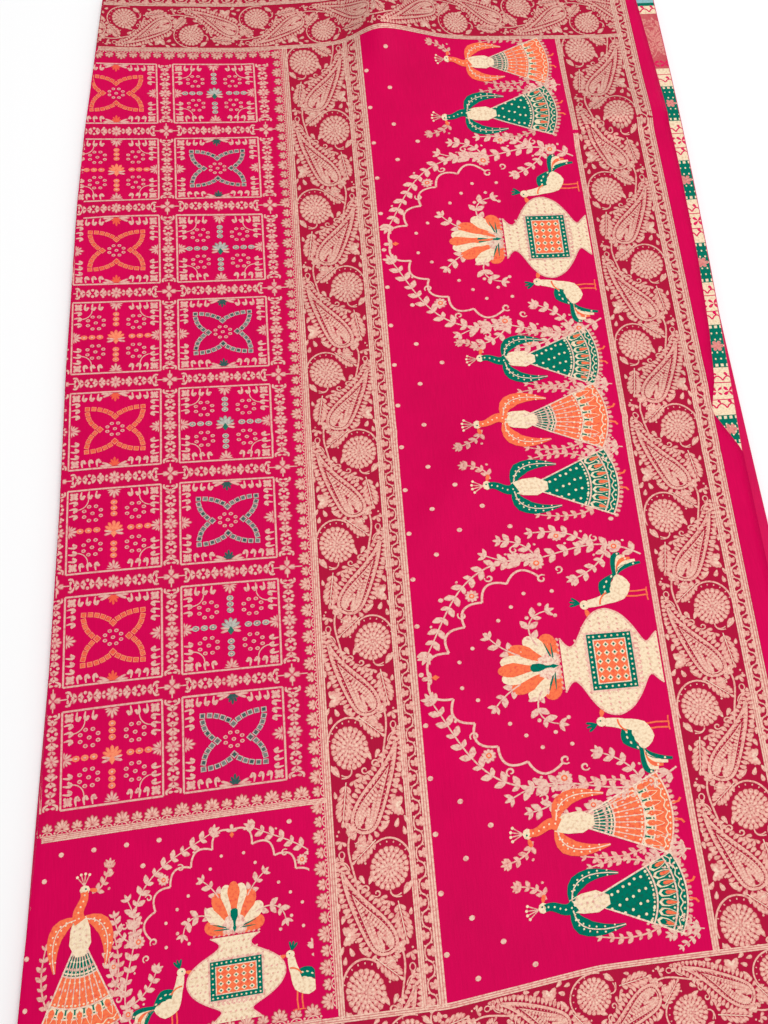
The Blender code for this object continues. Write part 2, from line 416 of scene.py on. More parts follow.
world = bpy.data.worlds.new("soft studio")
world.use_nodes = True
sky = world.node_tree.nodes["Background"]
sky.inputs["Color"].default_value = (1.0, 1.0, 1.0, 1.0)
sky.inputs["Strength"].default_value = 0.36
bpy.context.scene.world = world
bpy.context.scene.view_settings.view_transform = "Standard"

for name, place, size, power in (
    ("wide light", (0.4, 0.6, 3.3), 2.2, 85.0),
    ("fill light", (1.9, -1.6, 2.5), 2.6, 12.0),
):
    lamp = bpy.data.lights.new(name, "AREA")
    lamp.shape = "DISK"
    lamp.size = size
    lamp.energy = power
    lamp_object = bpy.data.objects.new(name, lamp)
    lamp_object.location = place
    lamp_object.rotation_euler = Vector(place).to_track_quat("Z", "Y").to_euler()
    bpy.context.scene.collection.objects.link(lamp_object)

CAMERA_PLACE = (2.7704, -13.3764, 13.1823)  # in checks: along, across, and above the top layer
CAMERA_TURN = (30.7376, 1.8556, -3.8337)
TOP_LAYER = LOWEST_MIDDLE + (LAYERS - 1) * LAYER_PITCH
camera = bpy.data.cameras.new("camera")
camera.lens = 61.54
camera_object = bpy.data.objects.new("camera", camera)
floor_to_top = (-pile_centre[0], -pile_centre[1], TOP_LAYER)
camera_object.location = [place * CHECK + shift for place, shift in zip(CAMERA_PLACE, floor_to_top)]
camera_object.rotation_euler = [math.radians(turn) for turn in CAMERA_TURN]
bpy.context.scene.collection.objects.link(camera_object)
bpy.context.scene.camera = camera_object

# ---------------------------------------------------------------------------
# The floats: the brocade's extra weft, in zari (gold yarn) and in coloured silk, which comes to the
# face only in its motifs. Each is drawn flat, as along, across and lift, and then laid on the cloth.
# ---------------------------------------------------------------------------
FLOAT_LIFTS = (0.00012, 0.00022, 0.00032, 0.00048)  # metres off the cloth at a lift of 0, 1, 2 and 3
CROSSING_LIFT, CROSSING_TURNS = 0.02, 7
SMALL_MOTIF = 20  # points: a motif with fewer is a single float
WRAP = 0.0016  # how far round the left fold a motif is followed
TOP_COLUMNS = LAYER_STEPS[0]
FOLD_STEP = math.pi * LAYER_PITCH / 2 / FOLD_STEPS


def kept(drawn):
    """A drawn motif's mesh and its points, kept to be stamped many times."""
    mesh = bpy.data.meshes.new("motif")
    drawn.to_mesh(mesh)
    drawn.free()
    points = np.empty(len(mesh.vertices) * 3)
    mesh.vertices.foreach_get("co", points)
    return mesh, points.reshape(-1, 3)


def template(draw):
    drawn = bmesh.new()
    draw(drawn)
    return kept(drawn)


crossings = 0


def over_the_last():
    """A hair of extra lift, so that no single float lies at just the height of one it crosses."""
    global crossings
    crossings += 1
    return CROSSING_LIFT * (crossings % CROSSING_TURNS)


def stamp(floats, motif, along, across, turn=0.0, length=1.0, width=None, lift=0.0):
    """Adds a motif at a place on the flat cloth, turned in degrees; a negative width mirrors it."""
    mesh, points = motif
    width = length if width is None else width
    c, s = heading(turn)
    x, y = points[:, 0] * length, points[:, 1] * width
    if len(points) < SMALL_MOTIF:
        lift = lift + over_the_last()
    placed = np.stack([along + x * c - y * s, across + x * s + y * c, points[:, 2] + lift], axis=1)
    mesh.vertices.foreach_set("co", placed.ravel())
    floats.from_mesh(mesh)


def stamp_rows(floats, *rows):
    """Stamps motifs one after another, each row holding what stamp is told."""
    for row in rows:
        stamp(floats, *row)


def stamp_round(floats, motif, turns, along, across, length, width, lift=1.0):
    """Stamps a motif at one place, turned each way told."""
    for turn in turns:
        stamp(floats, motif, along, across, turn, length, width, lift)


def drawn_circle(sides, turn=90.0, rim=0.0, middle=None):
    """A disc 1 across: flat, or with its rim and its middle at the lifts told."""

    def draw(drawn):
        turned = Matrix.Rotation(math.radians(turn), 4, "Z")
        bmesh.ops.create_circle(
            drawn, cap_ends=True, cap_tris=middle is not None, radius=0.5, segments=sides, matrix=turned
        )
        for vertex in drawn.verts:
            vertex.co.z = rim if vertex.co.length > 0.01 else middle

    return draw


SUNK_RIM, DEEP_RIM = -0.70, -1.45  # how much lower a float's rim is tied down than its middle


def drawn_blade(width_at, rim=SUNK_RIM, sides=8):
    """A petal, leaf or tongue from its foot at the origin to its tip at 1, as wide as width_at tells."""

    def draw(drawn):
        drawn_circle(sides, 90, rim, 0.0)(drawn)
        for vertex in drawn.verts:
            x, y, z = vertex.co
            vertex.co = (x + 0.5, y * width_at(x), z)

    return draw


def petal_width(x):
    return 0.5 + 1.1 * (x + 0.5)


def drawn_hollow_square(drawn):
    """A square with its middle left open."""
    drawn_circle(4, 45)(drawn)
    rim = bmesh.ops.inset_region(drawn, faces=drawn.faces[:], thickness=0.17, use_boundary=True)
    inside = [face for face in drawn.faces if face not in rim["faces"]]
    bmesh.ops.delete(drawn, geom=inside, context="FACES")


LOBE = template(drawn_blade(lambda x: 1.05))  # rounded, and nearly as wide at its foot as at its end
LEAFLET = template(drawn_blade(lambda x: 1.1 - 2.4 * x * x))  # pointed at both ends
PETAL, BIG_PETAL = template(drawn_blade(petal_width)), template(drawn_blade(petal_width, sides=24))
FULL_PETAL = template(drawn_blade(petal_width, DEEP_RIM))
OVAL, DISC = template(drawn_circle(8, 90, SUNK_RIM / 2, 0.0)), template(drawn_circle(12))
FULL_OVAL = template(drawn_circle(8, 90, DEEP_RIM, 0.0))
BEAD = template(drawn_circle(8, 90, 0.0, -1.5))  # light at its rim and dark in its middle
SQUARE, HOLLOW_SQUARE = template(drawn_circle(4, 45)), template(drawn_hollow_square)
DIAMOND = template(drawn_circle(4, 90, SUNK_RIM / 2, 0.0))
SQUARE_SIDE = math.sqrt(0.5)  # of a square drawn as a circle of four

cells_kept = {}


def cells(points, rows=1):
    """A grid of cells to be bent into a ribbon or a filled float, made once for each size."""
    if (points, rows) not in cells_kept:
        cells_kept[points, rows] = template(
            lambda drawn: bmesh.ops.create_grid(drawn, x_segments=points - 1, y_segments=rows, size=0.5)
        )
    return cells_kept[points, rows][0]


def ribbon(floats, path, width, lift=1.0):
    """A flat band along a path, as wide as told, or tapering through the widths told."""
    path = np.asarray(path, float)
    mesh = cells(len(path))
    direction = np.gradient(path, axis=0)
    direction /= np.linalg.norm(direction, axis=1, keepdims=True) + 1e-9
    widths = np.interp(np.linspace(0, 1, len(path)), np.linspace(0, 1, np.size(width)), np.ravel(width))
    side = np.stack([-direction[:, 1], direction[:, 0]], axis=1) * widths[:, None] / 2
    edges = np.concatenate([path - side, path + side])
    placed = np.column_stack([edges, np.full(len(edges), lift + over_the_last())])
    mesh.vertices.foreach_set("co", placed.ravel())
    floats.from_mesh(mesh)


def arc(middle, radius, start, end, steps, radius_across=None):
    """A path along a circle or an ellipse, from one turn to another."""
    turns = np.radians(np.linspace(start, end, steps + 1))
    across = radius if radius_across is None else radius_across
    return np.stack([middle[0] + radius * np.cos(turns), middle[1] + across * np.sin(turns)], axis=1)


def curve(*points, steps=10):
    """A smooth path through three or four points that pull it, as a Bezier curve's do."""
    t = np.linspace(0, 1, steps + 1)[:, None]
    p = [np.array(point, float) for point in points]
    if len(p) == 3:
        return p[0] * (1 - t) ** 2 + p[1] * 2 * t * (1 - t) + p[2] * t * t
    return p[0] * (1 - t) ** 3 + p[1] * 3 * t * (1 - t) ** 2 + p[2] * 3 * t * t * (1 - t) + p[3] * t**3


def turn_of(step):
    """The turn, in degrees, of a step along and across."""
    return math.degrees(math.atan2(step[1], step[0]))


def on_cloth(row, column, side, lift):
    """Points of the cloth's face or reverse, by grid row and column, lift metres off it."""
    row, column = np.clip(row, 0, rows_deep - 1.001), np.clip(column, 0, columns_long - 1.001)
    r, c = row.astype(int), column.astype(int)
    fr, fc = (row - r)[:, None], (column - c)[:, None]

    def read(grid):
        near = grid[r, c] * (1 - fc) + grid[r, c + 1] * fc
        far = grid[r + 1, c] * (1 - fc) + grid[r + 1, c + 1] * fc
        return near * (1 - fr) + far * fr

    normal = read(section_normals)
    normal /= np.linalg.norm(normal, axis=1, keepdims=True)
    return read(sections) + normal * side * (CLOTH_THICKNESS / 2 + lift)[:, None]


def row_at(across):
    """The cloth's grid row at a place across it."""
    return (across - NEAR_SELVEDGE) / (FAR_SELVEDGE - NEAR_SELVEDGE) * CLOTH_ROWS


def on_the_face(flat):
    """The cloth's points over places on the flat face of the top layer and round its left fold."""
    start, end = from_table(PALLU_END, flat[:, 1]), from_table(TOP_FOLD, flat[:, 1])
    column = np.clip((start - flat[:, 0]) / (start - end), 0, 1) * TOP_COLUMNS
    past = np.clip((end - flat[:, 0]) * CHECK, 0, WRAP) / FOLD_STEP
    off = np.interp(flat[:, 2], np.arange(len(FLOAT_LIFTS)), FLOAT_LIFTS)
    return on_cloth(row_at(flat[:, 1]), column + past, 1, off)


def cut(floats, point, outwards):
    """Cuts drawn floats along a line through a point, and clears what lies outwards of it."""
    everything = floats.verts[:] + floats.edges[:] + floats.faces[:]
    bmesh.ops.bisect_plane(
        floats, geom=everything, plane_co=(*point, 0), plane_no=(*outwards, 0), clear_outer=True
    )


def lay(floats, name, material, clip=(), laid_on=on_the_face):
    """Cuts the drawn floats at the lines told, lays them on the cloth, and makes the piece."""
    for point, outwards in clip:
        cut(floats, point, outwards)
    floats.verts.index_update()
    if laid_on is on_the_face:
        flat = np.array([vertex.co for vertex in floats.verts])
        hidden = (from_table(TOP_FOLD, flat[:, 1]) - flat[:, 0]) * CHECK > WRAP
        gone = [face for face in floats.faces if all(hidden[vertex.index] for vertex in face.verts)]
        if gone:
            bmesh.ops.delete(floats, geom=gone, context="FACES")
    floats.normal_update()
    down = [face for face in floats.faces if face.normal.z < 0]
    bmesh.ops.reverse_faces(floats, faces=down)
    mesh = bpy.data.meshes.new(name)
    floats.to_mesh(mesh)
    floats.free()
    flat = np.empty(len(mesh.vertices) * 3)
    mesh.vertices.foreach_get("co", flat)
    flat = flat.reshape(-1, 3)
    mesh.vertices.foreach_set("co", laid_on(flat).ravel())
    tone = mesh.attributes.new("tone", "FLOAT", "POINT")
    tone.data.foreach_set("value", flat[:, 2])
    corners = np.empty(len(mesh.loops), int)
    mesh.loops.foreach_get("vertex_index", corners)
    low, high = flat.min(axis=0), flat.max(axis=0)
    finish = 0.005 + 0.99 * (flat[corners, :2] - low[:2]) / (high[:2] - low[:2])
    for layer_name, places in (("OFBake", finish), ("loom", flat[corners, :2] * CHECK)):
        layer = mesh.uv_layers.new(name=layer_name)
        layer.uv.foreach_set("vector", places.astype(np.float32).ravel())
    mesh.materials.append(material)
    piece = bpy.data.objects.new(name, mesh)
    bpy.context.scene.collection.objects.link(piece)
    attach(piece, "root")


def yarn_material(name, light, dark, ground, metallic, roughness, crown=None):
    """A float's yarn: light where it lies on top, dark where it is under another, of the crown's colour in
    the fullest motifs, and broken by the fine rib of the ground that ties it down, which shows more in soft
    clouds of painted shade."""
    material, tree, shader, loom, woven = silk(name, light[:3], roughness, 0.05, light[:3], metallic)
    tone = node(tree, "Attribute", {"attribute_name": "tone"}).outputs["Fac"]
    grain = node(tree, "TexNoise", Vector=loom, Scale=420.0, Detail=2.0).outputs[0]

    def ranged(value, low, high, most):
        """A share from 0 to the most told, as a value goes from low to high."""
        return node(tree, "MapRange", i0=value, i1=low, i2=high, i3=0.0, i4=most).outputs[0]

    yarn = mixed(tree, ranged(tone, 0.22, 0.58, 1.0), dark, light)
    if crown:
        yarn = mixed(tree, ranged(tone, 1.1, 1.6, 1.0), yarn, crown)
    yarn = mixed(tree, ranged(grain, 0.42, 0.78, 0.45), yarn, dark)
    # The ground shows through in specks, the real ground between the threads, and more of it in soft
    # clouds: painted shade that turns the yarn pinker in patches
    clouds = sums(tree, "MULTIPLY_ADD", woven.outputs["Clouds"], 0.5, 0.25)
    yarn = mixed(tree, sums(tree, "MULTIPLY", clouds, ranged(grain, 0.5, 0.8, 0.9)), yarn, ground)
    rough = sums(tree, "MULTIPLY_ADD", woven.outputs["Slubs"], 0.2, roughness - 0.1)
    finish_silk(tree, shader, woven, yarn, rough, 0.5)
    return material


# Each yarn's light, dark and ground colours, how metallic and how rough it is, and its crown's colour
ZARI = yarn_material(
    "zari", (0.73, 0.410, 0.330, 1), (0.42, 0.030, 0.055, 1), (0.55, 0.02, 0.06, 1), 0.2, 0.5,
    crown=(0.79, 0.60, 0.46, 1)
)
PALE = yarn_material(
    "pale silk yarn", (0.77, 0.46, 0.38, 1), (0.62, 0.10, 0.14, 1), (0.6, 0.01, 0.1, 1), 0.0, 0.6
)
ORANGE = yarn_material(
    "orange silk yarn", (0.93, 0.19, 0.075, 1), (0.82, 0.06, 0.04, 1), (0.6, 0.0, 0.06, 1), 0.0, 0.6
)
SALMON = yarn_material(
    "salmon silk yarn", (0.93, 0.27, 0.14, 1), (0.84, 0.11, 0.06, 1), (0.6, 0.0, 0.06, 1), 0.0, 0.6
)
CREAM = yarn_material(
    "cream silk yarn", (0.83, 0.54, 0.43, 1), (0.60, 0.09, 0.13, 1), (0.6, 0.01, 0.1, 1), 0.0, 0.6
)
GREEN = yarn_material(
    "green silk yarn", (0.0, 0.17, 0.11, 1), (0.0, 0.07, 0.05, 1), (0.02, 0.06, 0.05, 1), 0.0, 0.6
)
IVORY = yarn_material(
    "ivory silk yarn", (0.90, 0.72, 0.50, 1), (0.55, 0.36, 0.20, 1), (0.6, 0.2, 0.12, 1), 0.05, 0.55
)
GREY_GREEN = yarn_material(
    "grey green silk yarn", (0.52, 0.50, 0.44, 1), (0.02, 0.09, 0.08, 1), (0.3, 0.08, 0.12, 1), 0.0, 0.6,
    crown=(0.01, 0.16, 0.11, 1)
)

# ---------------------------------------------------------------------------
# The check squares: sixteen of them, each in a pale frame with hooked combs inside it, holding in
# turn a four-petalled flower of tied-dye squares and a cross of ovals with four dotted rings.
# ---------------------------------------------------------------------------
CHECK_ROWS, CHECK_COLUMNS = 8, 2
HALF_WIDE, HALF_HIGH = 0.416, 0.396  # of a square's frame
FRAME_LINE, COMB_DEPTH = 0.016, 0.085


def drawn_hook(drawn):
    """A comma with its head up, 1 deep and 0.7 wide, curling to its foot on the frame."""
    stem = curve((0.10, 0.62), (0.18, 1.02), (0.68, 0.98), (0.40, 0.0), steps=6)
    ribbon(drawn, stem, (0.16, 0.36, 0.34, 0.12))
    stamp(drawn, OVAL, 0.12, 0.60, length=0.36, width=0.30, lift=1.2)


def drawn_lotus(drawn):
    """A lotus seen from the side: seven petals fanned over its foot, 1 high."""
    for turn, length, width in (
        (90, 1.05, 0.30), (57, 0.92, 0.26), (123, 0.92, 0.26), (28, 0.80, 0.20), (152, 0.80, 0.20),
        (4, 0.84, 0.14), (176, 0.84, 0.14),
    ):
        stamp(drawn, FULL_PETAL, 0, 0.02, turn, length, width, lift=1.45)


HOOK, LOTUS = template(drawn_hook), template(drawn_lotus)
SIDES = (1, -1)
CORNERS = (1, 1), (1, -1), (-1, 1), (-1, -1)
QUARTERS, DIAGONALS = (0, 90, 180, 270), (45, 135, 225, 315)  # turns, in degrees


def corner_rosette(floats, along, across, size):
    """A small flower of four large petals and four small ones."""
    stamp_round(floats, PETAL, DIAGONALS, along, across, size * 0.62, size * 0.34)
    stamp_round(floats, PETAL, QUARTERS, along, across, size * 0.45, size * 0.18)


def check_frame(pale, coloured, coloured_lotuses):
    """The frame's line, and along each side a comb of hooks with a lotus in its middle. The lotuses
    of the far and near sides may be coloured, and then stand between pale leaves."""
    w, h = HALF_WIDE, HALF_HIGH
    corners = (-w, -h), (w, -h), (w, h), (-w, h), (-w, -h)
    for a, b in zip(corners[:-1], corners[1:]):
        ribbon(pale, np.linspace(a, b, 9), FRAME_LINE)
    for turn, across, reach in ((0, h, w), (180, h, w), (90, w, h), (270, w, h)):
        c, s = heading(turn)
        foot = -across + FRAME_LINE
        filled_in = coloured_lotuses and reach == w

        def place(x, y):
            return x * c - y * s, x * s + y * c

        for side in SIDES:
            for step in range(3):
                x = side * (0.122 + 0.068 * step) * (reach / w)
                stamp(pale, HOOK, *place(x, foot), turn, side * 0.078, COMB_DEPTH * 0.92)
        if not filled_in:
            stamp(pale, LOTUS, *place(0, foot), turn, 0.080, COMB_DEPTH)
            continue
        stamp(coloured, LOTUS, *place(0, foot), turn, 0.066, COMB_DEPTH, -1.3)
        for side in SIDES:
            for spread, length, width in ((68, 0.105, 0.022), (88, 0.115, 0.020)):
                stamp(pale, PETAL, *place(side * 0.02, foot), turn + 90 - side * spread, length, width, 1.0)
    for side_x, side_y in CORNERS:
        corner_rosette(pale, side_x * (w - 0.058), side_y * (h - 0.056), 0.078)


def dotted_ring(floats, along, across, radius, radius_across, dot):
    """Eight dots in a ring, and one in its middle."""
    for turn in range(0, 360, 45):
        c, s = heading(turn + 22.5)
        stamp(floats, BEAD, along + radius * c, across + radius_across * s, 0, dot, dot * 0.84, 1.0)
    stamp(floats, BEAD, along, across, 0, dot, dot * 0.84, 1.0)


def tied_square(floats, x, y, turn, outer, inner):
    """A hollow square round a darker middle, as tied dyeing leaves them."""
    (outer_length, outer_width), (inner_length, inner_width) = outer, inner
    stamp(floats, HOLLOW_SQUARE, x, y, turn, outer_length / SQUARE_SIDE, outer_width / SQUARE_SIDE, 1.0)
    stamp(floats, SQUARE, x, y, turn, inner_length / SQUARE_SIDE, inner_width / SQUARE_SIDE, 0.22)


def chain(floats, path, size):
    """Tied squares along a path."""
    for (x, y), step in zip(path, np.gradient(path, axis=0)):
        tied_square(floats, x, y, turn_of(step), (size, size * 0.96), (size * 0.60, size * 0.56))


def petal_square(pale, coloured):
    """Four petals from the middle to the corners, outlined in tied squares."""
    check_frame(pale, coloured, True)
    for side_x, side_y in CORNERS:
        upper = curve((0, 0.134), (0.100 * side_x, 0.225), (0.254 * side_x, 0.222), steps=5)
        lower = curve((0.254 * side_x, 0.222), (0.262 * side_x, 0.080), (0.136 * side_x, 0), steps=5)
        for path in (upper[1:], lower[1:-1]):
            chain(coloured, path * (1, side_y), 0.0455)
    for x, y in ((0.136, 0), (-0.136, 0), (0, 0.130), (0, -0.130)):
        tied_square(coloured, x, y, 45, (0.050, 0.050), (0.028, 0.028))
    dotted_ring(pale, 0, 0, 0.074, 0.062, 0.038)


def cross_square(pale, coloured):
    """A cross of ovals with a lotus at its heart, and a dotted ring in each quarter."""
    check_frame(pale, coloured, False)
    corner_in = np.array([HALF_WIDE - 0.09, HALF_HIGH - 0.09])
    for side in SIDES:
        for step in range(3):
            x, y = side * (0.150 + 0.074 * step), side * (0.142 + 0.056 * step)
            stamp_rows(coloured, (BEAD, x, 0, 0, 0.066, 0.052, 1.0), (BEAD, 0, y, 0, 0.062, 0.052, 1.0))
            stamp_rows(pale, (OVAL, x, 0, 0, 0.028, 0.020, 1.6), (OVAL, 0, y, 0, 0.026, 0.020, 1.6))
        for side_y in SIDES:
            dotted_ring(pale, side * 0.190, side_y * 0.162, 0.080, 0.072, 0.040)
            towards = np.array([side, side_y])
            corner = towards * corner_in
            ribbon(pale, corner - towards * np.abs(arc(corner, 0.10, 0, 90, 6) - corner), 0.009)
    for turn, length, width in (
        (90, 0.100, 0.030), (60, 0.098, 0.028), (120, 0.098, 0.028), (32, 0.092, 0.026),
        (148, 0.092, 0.026), (5, 0.088, 0.020), (175, 0.088, 0.020),
    ):
        stamp(coloured, PETAL, 0, -0.022, turn, length, width, 1.0)
    for side in SIDES:
        stamp(pale, PETAL, 0, -0.035, 90 - side * 104, 0.090, 0.022, 1.0)
        stamp(pale, PETAL, 0, -0.030, 90 - side * 82, 0.085, 0.016, 2.0)
    stamp(coloured, DIAMOND, 0, -0.045, 0, 0.055, 0.080, 2.0)


def kept_pair(draw):
    """The pale and the coloured floats of one square, as two motifs."""
    pale, coloured = bmesh.new(), bmesh.new()
    draw(pale, coloured)
    return kept(pale), kept(coloured)


square_kinds = kept_pair(petal_square), kept_pair(cross_square)
square_pale, square_orange, square_green = bmesh.new(), bmesh.new(), bmesh.new()
for check_row in range(CHECK_ROWS):
    for check_column in range(CHECK_COLUMNS):
        pale_motif, coloured_motif = square_kinds[(check_row + check_column) % 2]
        middle = check_column + 0.5, -check_row - 0.5
        stamp(square_pale, pale_motif, *middle)
        stamp((square_orange, square_green)[check_column], coloured_motif, *middle)
lay(square_pale, "check_squares_pale", PALE)
lay(square_orange, "check_squares_orange", SALMON)
lay(square_green, "check_squares_green", GREY_GREEN)

# ---------------------------------------------------------------------------
# The grid between the squares: chains of small flowers and diamonds, woven in the same pale yarn,
# with a cross flower where two chains meet.
# ---------------------------------------------------------------------------
def drawn_chain(drawn):
    """One side of a check: from its middle flower out to the brackets at either end."""
    stamp_round(drawn, FULL_PETAL, range(0, 360, 45), 0, 0, 0.058, 0.026, 1.4)
    for side in SIDES:
        for x, reach in ((0.088, 0.042), (0.160, 0.056), (0.290, 0.056)):
            stamp_round(drawn, FULL_PETAL, (38, 142, 218, 322), side * x, 0, reach, 0.026, 1.4)
        for x in (0.120, 0.198, 0.250, 0.330):
            stamp(drawn, DIAMOND, side * x, 0, 0, 0.030, 0.036, 1.0)
        for y in SIDES:
            stamp(drawn, OVAL, side * 0.224, y * 0.030, 0, 0.030, 0.026, 1.0)
            stamp(drawn, OVAL, side * 0.125, y * 0.036, 0, 0.024, 0.020, 1.0)
            points = (side * 0.340, y * 0.012), (side * 0.352, y * 0.060), (side * 0.392, y * 0.046)
            ribbon(drawn, curve(*points, steps=4), (0.010, 0.020, 0.012))
            stamp(drawn, PETAL, side * 0.372, 0, 90 * y, 0.036, 0.022, 1.0)


def drawn_crossing(drawn):
    """A cross flower with a short stem running out of it to each side."""
    stamp_round(drawn, FULL_PETAL, QUARTERS, 0, 0, 0.074, 0.050, 1.4)
    for side in SIDES:
        ribbon(drawn, [(side * reach, 0) for reach in (0.05, 0.09, 0.13)], 0.010)
    for side in SIDES:
        ribbon(drawn, [(0, side * reach) for reach in (0.05, 0.08, 0.10)], 0.010)


CHAIN, CROSSING = template(drawn_chain), template(drawn_crossing)
chains = bmesh.new()
for line in range(CHECK_COLUMNS + 1):
    for check_row in range(CHECK_ROWS):
        stamp(chains, CHAIN, line, -check_row - 0.5, 90, 1.0, 1.2)
        if check_row:
            stamp(chains, CROSSING, line, -check_row)
for check_row in range(1, CHECK_ROWS):
    for check_column in range(-1, CHECK_COLUMNS):
        stamp(chains, CHAIN, check_column + 0.5, -check_row, 0, 1.0, 1.2)
FOLD_IN, TURNED_UNDER = -0.084, -0.5  # along: the next squares' near sides, and how far they are woven
for check_row in range(2, CHECK_ROWS):  # their frames, which turn under at the left fold
    for side in (-HALF_HIGH, HALF_HIGH):
        across = -check_row - 0.5 + side
        ribbon(chains, np.linspace((TURNED_UNDER, across), (FOLD_IN, across), 7), FRAME_LINE)
    ribbon(chains, np.linspace((FOLD_IN, -check_row - 0.1), (FOLD_IN, -check_row - 0.9), 9), FRAME_LINE)
lay(chains, "check_grid_pale", PALE)

# ---------------------------------------------------------------------------
# The gold lines and the lotus edgings: stripes of solid zari that part the fields, and rows of
# lotus fans, large and small by turns, standing along them.
# ---------------------------------------------------------------------------
LINE_LEFT, LINE_RIGHT = (2.245, 2.874, 3.009), (5.095, 5.755, 5.872)  # each band's lines, along
LINE_WIDTHS = (0.050, 0.046, 0.058)
FAR_LINE, NEAR_LINE = 0.105, -9.784
UNDER_CHECKS = -8.110  # the line under the check field
LINE_START, EDGING_LINE, EDGING_OFF = -0.4, 2.216, 0.024  # a line starts round the left fold
LOTUS_PITCH, SCALLOP_WIDTH = 0.123, 0.010


def gold_line(floats, start, end, width):
    """A stripe of zari: three light strands over a darker one."""
    start, end = np.array(start, float), np.array(end, float)
    length = np.linalg.norm(end - start)
    path = np.linspace(start, end, max(3, round(length / 0.06)) + 1)
    side = np.array([-(end - start)[1], (end - start)[0]]) / length
    ribbon(floats, path, width, 0.36)
    for offset in (-0.38, 0.0, 0.38):
        ribbon(floats, path + side * width * offset, width * 0.24, 1.25)


def lotus_fan(petals, spread, size, width):
    """A lotus as a fan of petals over a darker heart, its outer petals the shorter."""

    def draw(drawn):
        stamp(drawn, DISC, 0, size * 0.30, 0, size * 0.50, size * 0.40, 0.2)
        for index in range(petals):
            share = index / (petals - 1) * 2 - 1
            reach = size * (1 - 0.22 * abs(share) ** 1.5)
            stamp(drawn, FULL_PETAL, 0, size * 0.10, 90 - share * spread, reach, width, 1.45)

    return draw


BIG_FAN, SMALL_FAN = template(lotus_fan(7, 90, 0.086, 0.027)), template(lotus_fan(5, 70, 0.068, 0.025))


def lotus_edging(floats, start, end):
    """Lotus fans on the left of the way from start to end, over a scalloped line with dots."""
    start, end = np.array(start, float), np.array(end, float)
    length = np.linalg.norm(end - start)
    ahead = (end - start) / length
    out = np.array([-ahead[1], ahead[0]])
    turn = turn_of(ahead)
    count = round(length / LOTUS_PITCH)
    ribbon(floats, np.linspace(start, end, count * 2 + 1) + out * 0.006, SCALLOP_WIDTH)
    for index in range(count):
        place = start + ahead * length * (index + 0.5) / count
        scallop = arc((0, 0), 0.044, 8, 172, 6, 0.034)
        ribbon(floats, place + scallop[:, :1] * ahead + scallop[:, 1:] * out, SCALLOP_WIDTH)
        stamp(floats, (BIG_FAN, SMALL_FAN)[index % 2], *(place + out * 0.034), turn, 1.0)
        stamp(floats, OVAL, *(place + out * 0.018), turn, 0.016, 0.014, 1.0)
        stamp(floats, OVAL, *(place + ahead * LOTUS_PITCH / 2 + out * 0.022), turn, 0.018, 0.018, 1.0)


lines = bmesh.new()
for places in (LINE_LEFT, LINE_RIGHT):
    for along, width in zip(places, LINE_WIDTHS):
        far, near = FAR_LINE, NEAR_LINE
        if along > LINE_RIGHT[0]:  # the pallu's last two lines run out through the long borders
            far, near = FAR_SELVEDGE - 0.02, NEAR_SELVEDGE + 0.02
        gold_line(lines, (along, far), (along, near), width)
for across in (FAR_LINE, NEAR_LINE):
    gold_line(lines, (LINE_START, across), (LINE_RIGHT[1], across), 0.046)
gold_line(lines, (-0.3, UNDER_CHECKS), (2.22, UNDER_CHECKS), 0.040)
lotus_edging(lines, (EDGING_LINE, -9.70), (EDGING_LINE, 0.07))
lotus_edging(lines, (2.10, FAR_LINE - EDGING_OFF), (0.0, FAR_LINE - EDGING_OFF))
lotus_edging(lines, (-0.2, UNDER_CHECKS + 0.022), (2.09, UNDER_CHECKS + 0.022))
lotus_edging(lines, (-0.3, NEAR_LINE + EDGING_OFF), (2.09, NEAR_LINE + EDGING_OFF))
lay(lines, "gold_lines_zari", ZARI, clip=(((5.895, 0), (1, 0)),))

# ---------------------------------------------------------------------------
# The paisley borders: two bands along the pallu's sides and two along the selvedges. Each holds a
# waving vine, with a chrysanthemum under an arching stem and a paisley in every bend of it.
# ---------------------------------------------------------------------------
BAND_WIDTH, LONG_WIDTH = 0.629, 0.60  # of a band across the sari, and of one along a selvedge
REPEAT, LONG_REPEAT = 0.9505, 0.692  # from one flower to the next, along each


def drawn_chrysanthemum(drawn):
    """Four rings of petals round a button, 1 in radius."""
    for petals, foot, tip, width, offset, lift in (
        (20, 0.62, 1.0, 0.262, 0.0, 1.55), (16, 0.40, 0.74, 0.235, 0.5, 1.62),
        (12, 0.20, 0.50, 0.205, 0.2, 1.69), (8, 0.05, 0.28, 0.170, 0.6, 1.6),
    ):
        for index in range(petals):
            turn = 360 * (index + offset) / petals
            c, s = heading(turn)
            stamp(drawn, FULL_PETAL, c * foot, s * foot, turn, tip - foot, width, lift)
    stamp(drawn, OVAL, 0, 0, 0, 0.13, 0.13, 1.2)


def drawn_feather_leaf(drawn):
    """A serrated leaf of paired leaflets on a rib, from the origin to 1 along."""
    blade, rib = (0.02, 0.25, 0.5, 0.75, 0.95), (-0.05, 0.3, 0.65, 0.95)
    ribbon(drawn, [(x, 0) for x in blade], (0.06, 0.16, 0.18, 0.12, 0.04), 0.0)
    ribbon(drawn, [(x, 0) for x in rib], (0.035, 0.035, 0.02), 1.6)
    for index in range(6):
        reach = 0.34 * math.sin(math.pi * (0.20 + 0.62 * index / 5)) + 0.04
        for side in SIDES:
            stamp(drawn, PETAL, 0.04 + index * 0.145, side * 0.02, side * 42, reach, 0.120, 1.0)
    stamp(drawn, PETAL, 0.86, 0, 0, 0.22, 0.10, 1.0)


def drawn_leaf(drawn):
    """A plain pointed leaf with a light rib."""
    stamp(drawn, PETAL, 0, 0, 0, 1.0, 0.42, 1.0)
    ribbon(drawn, [(0.1, 0), (0.45, 0), (0.8, 0)], (0.05, 0.07, 0.02), 1.4)


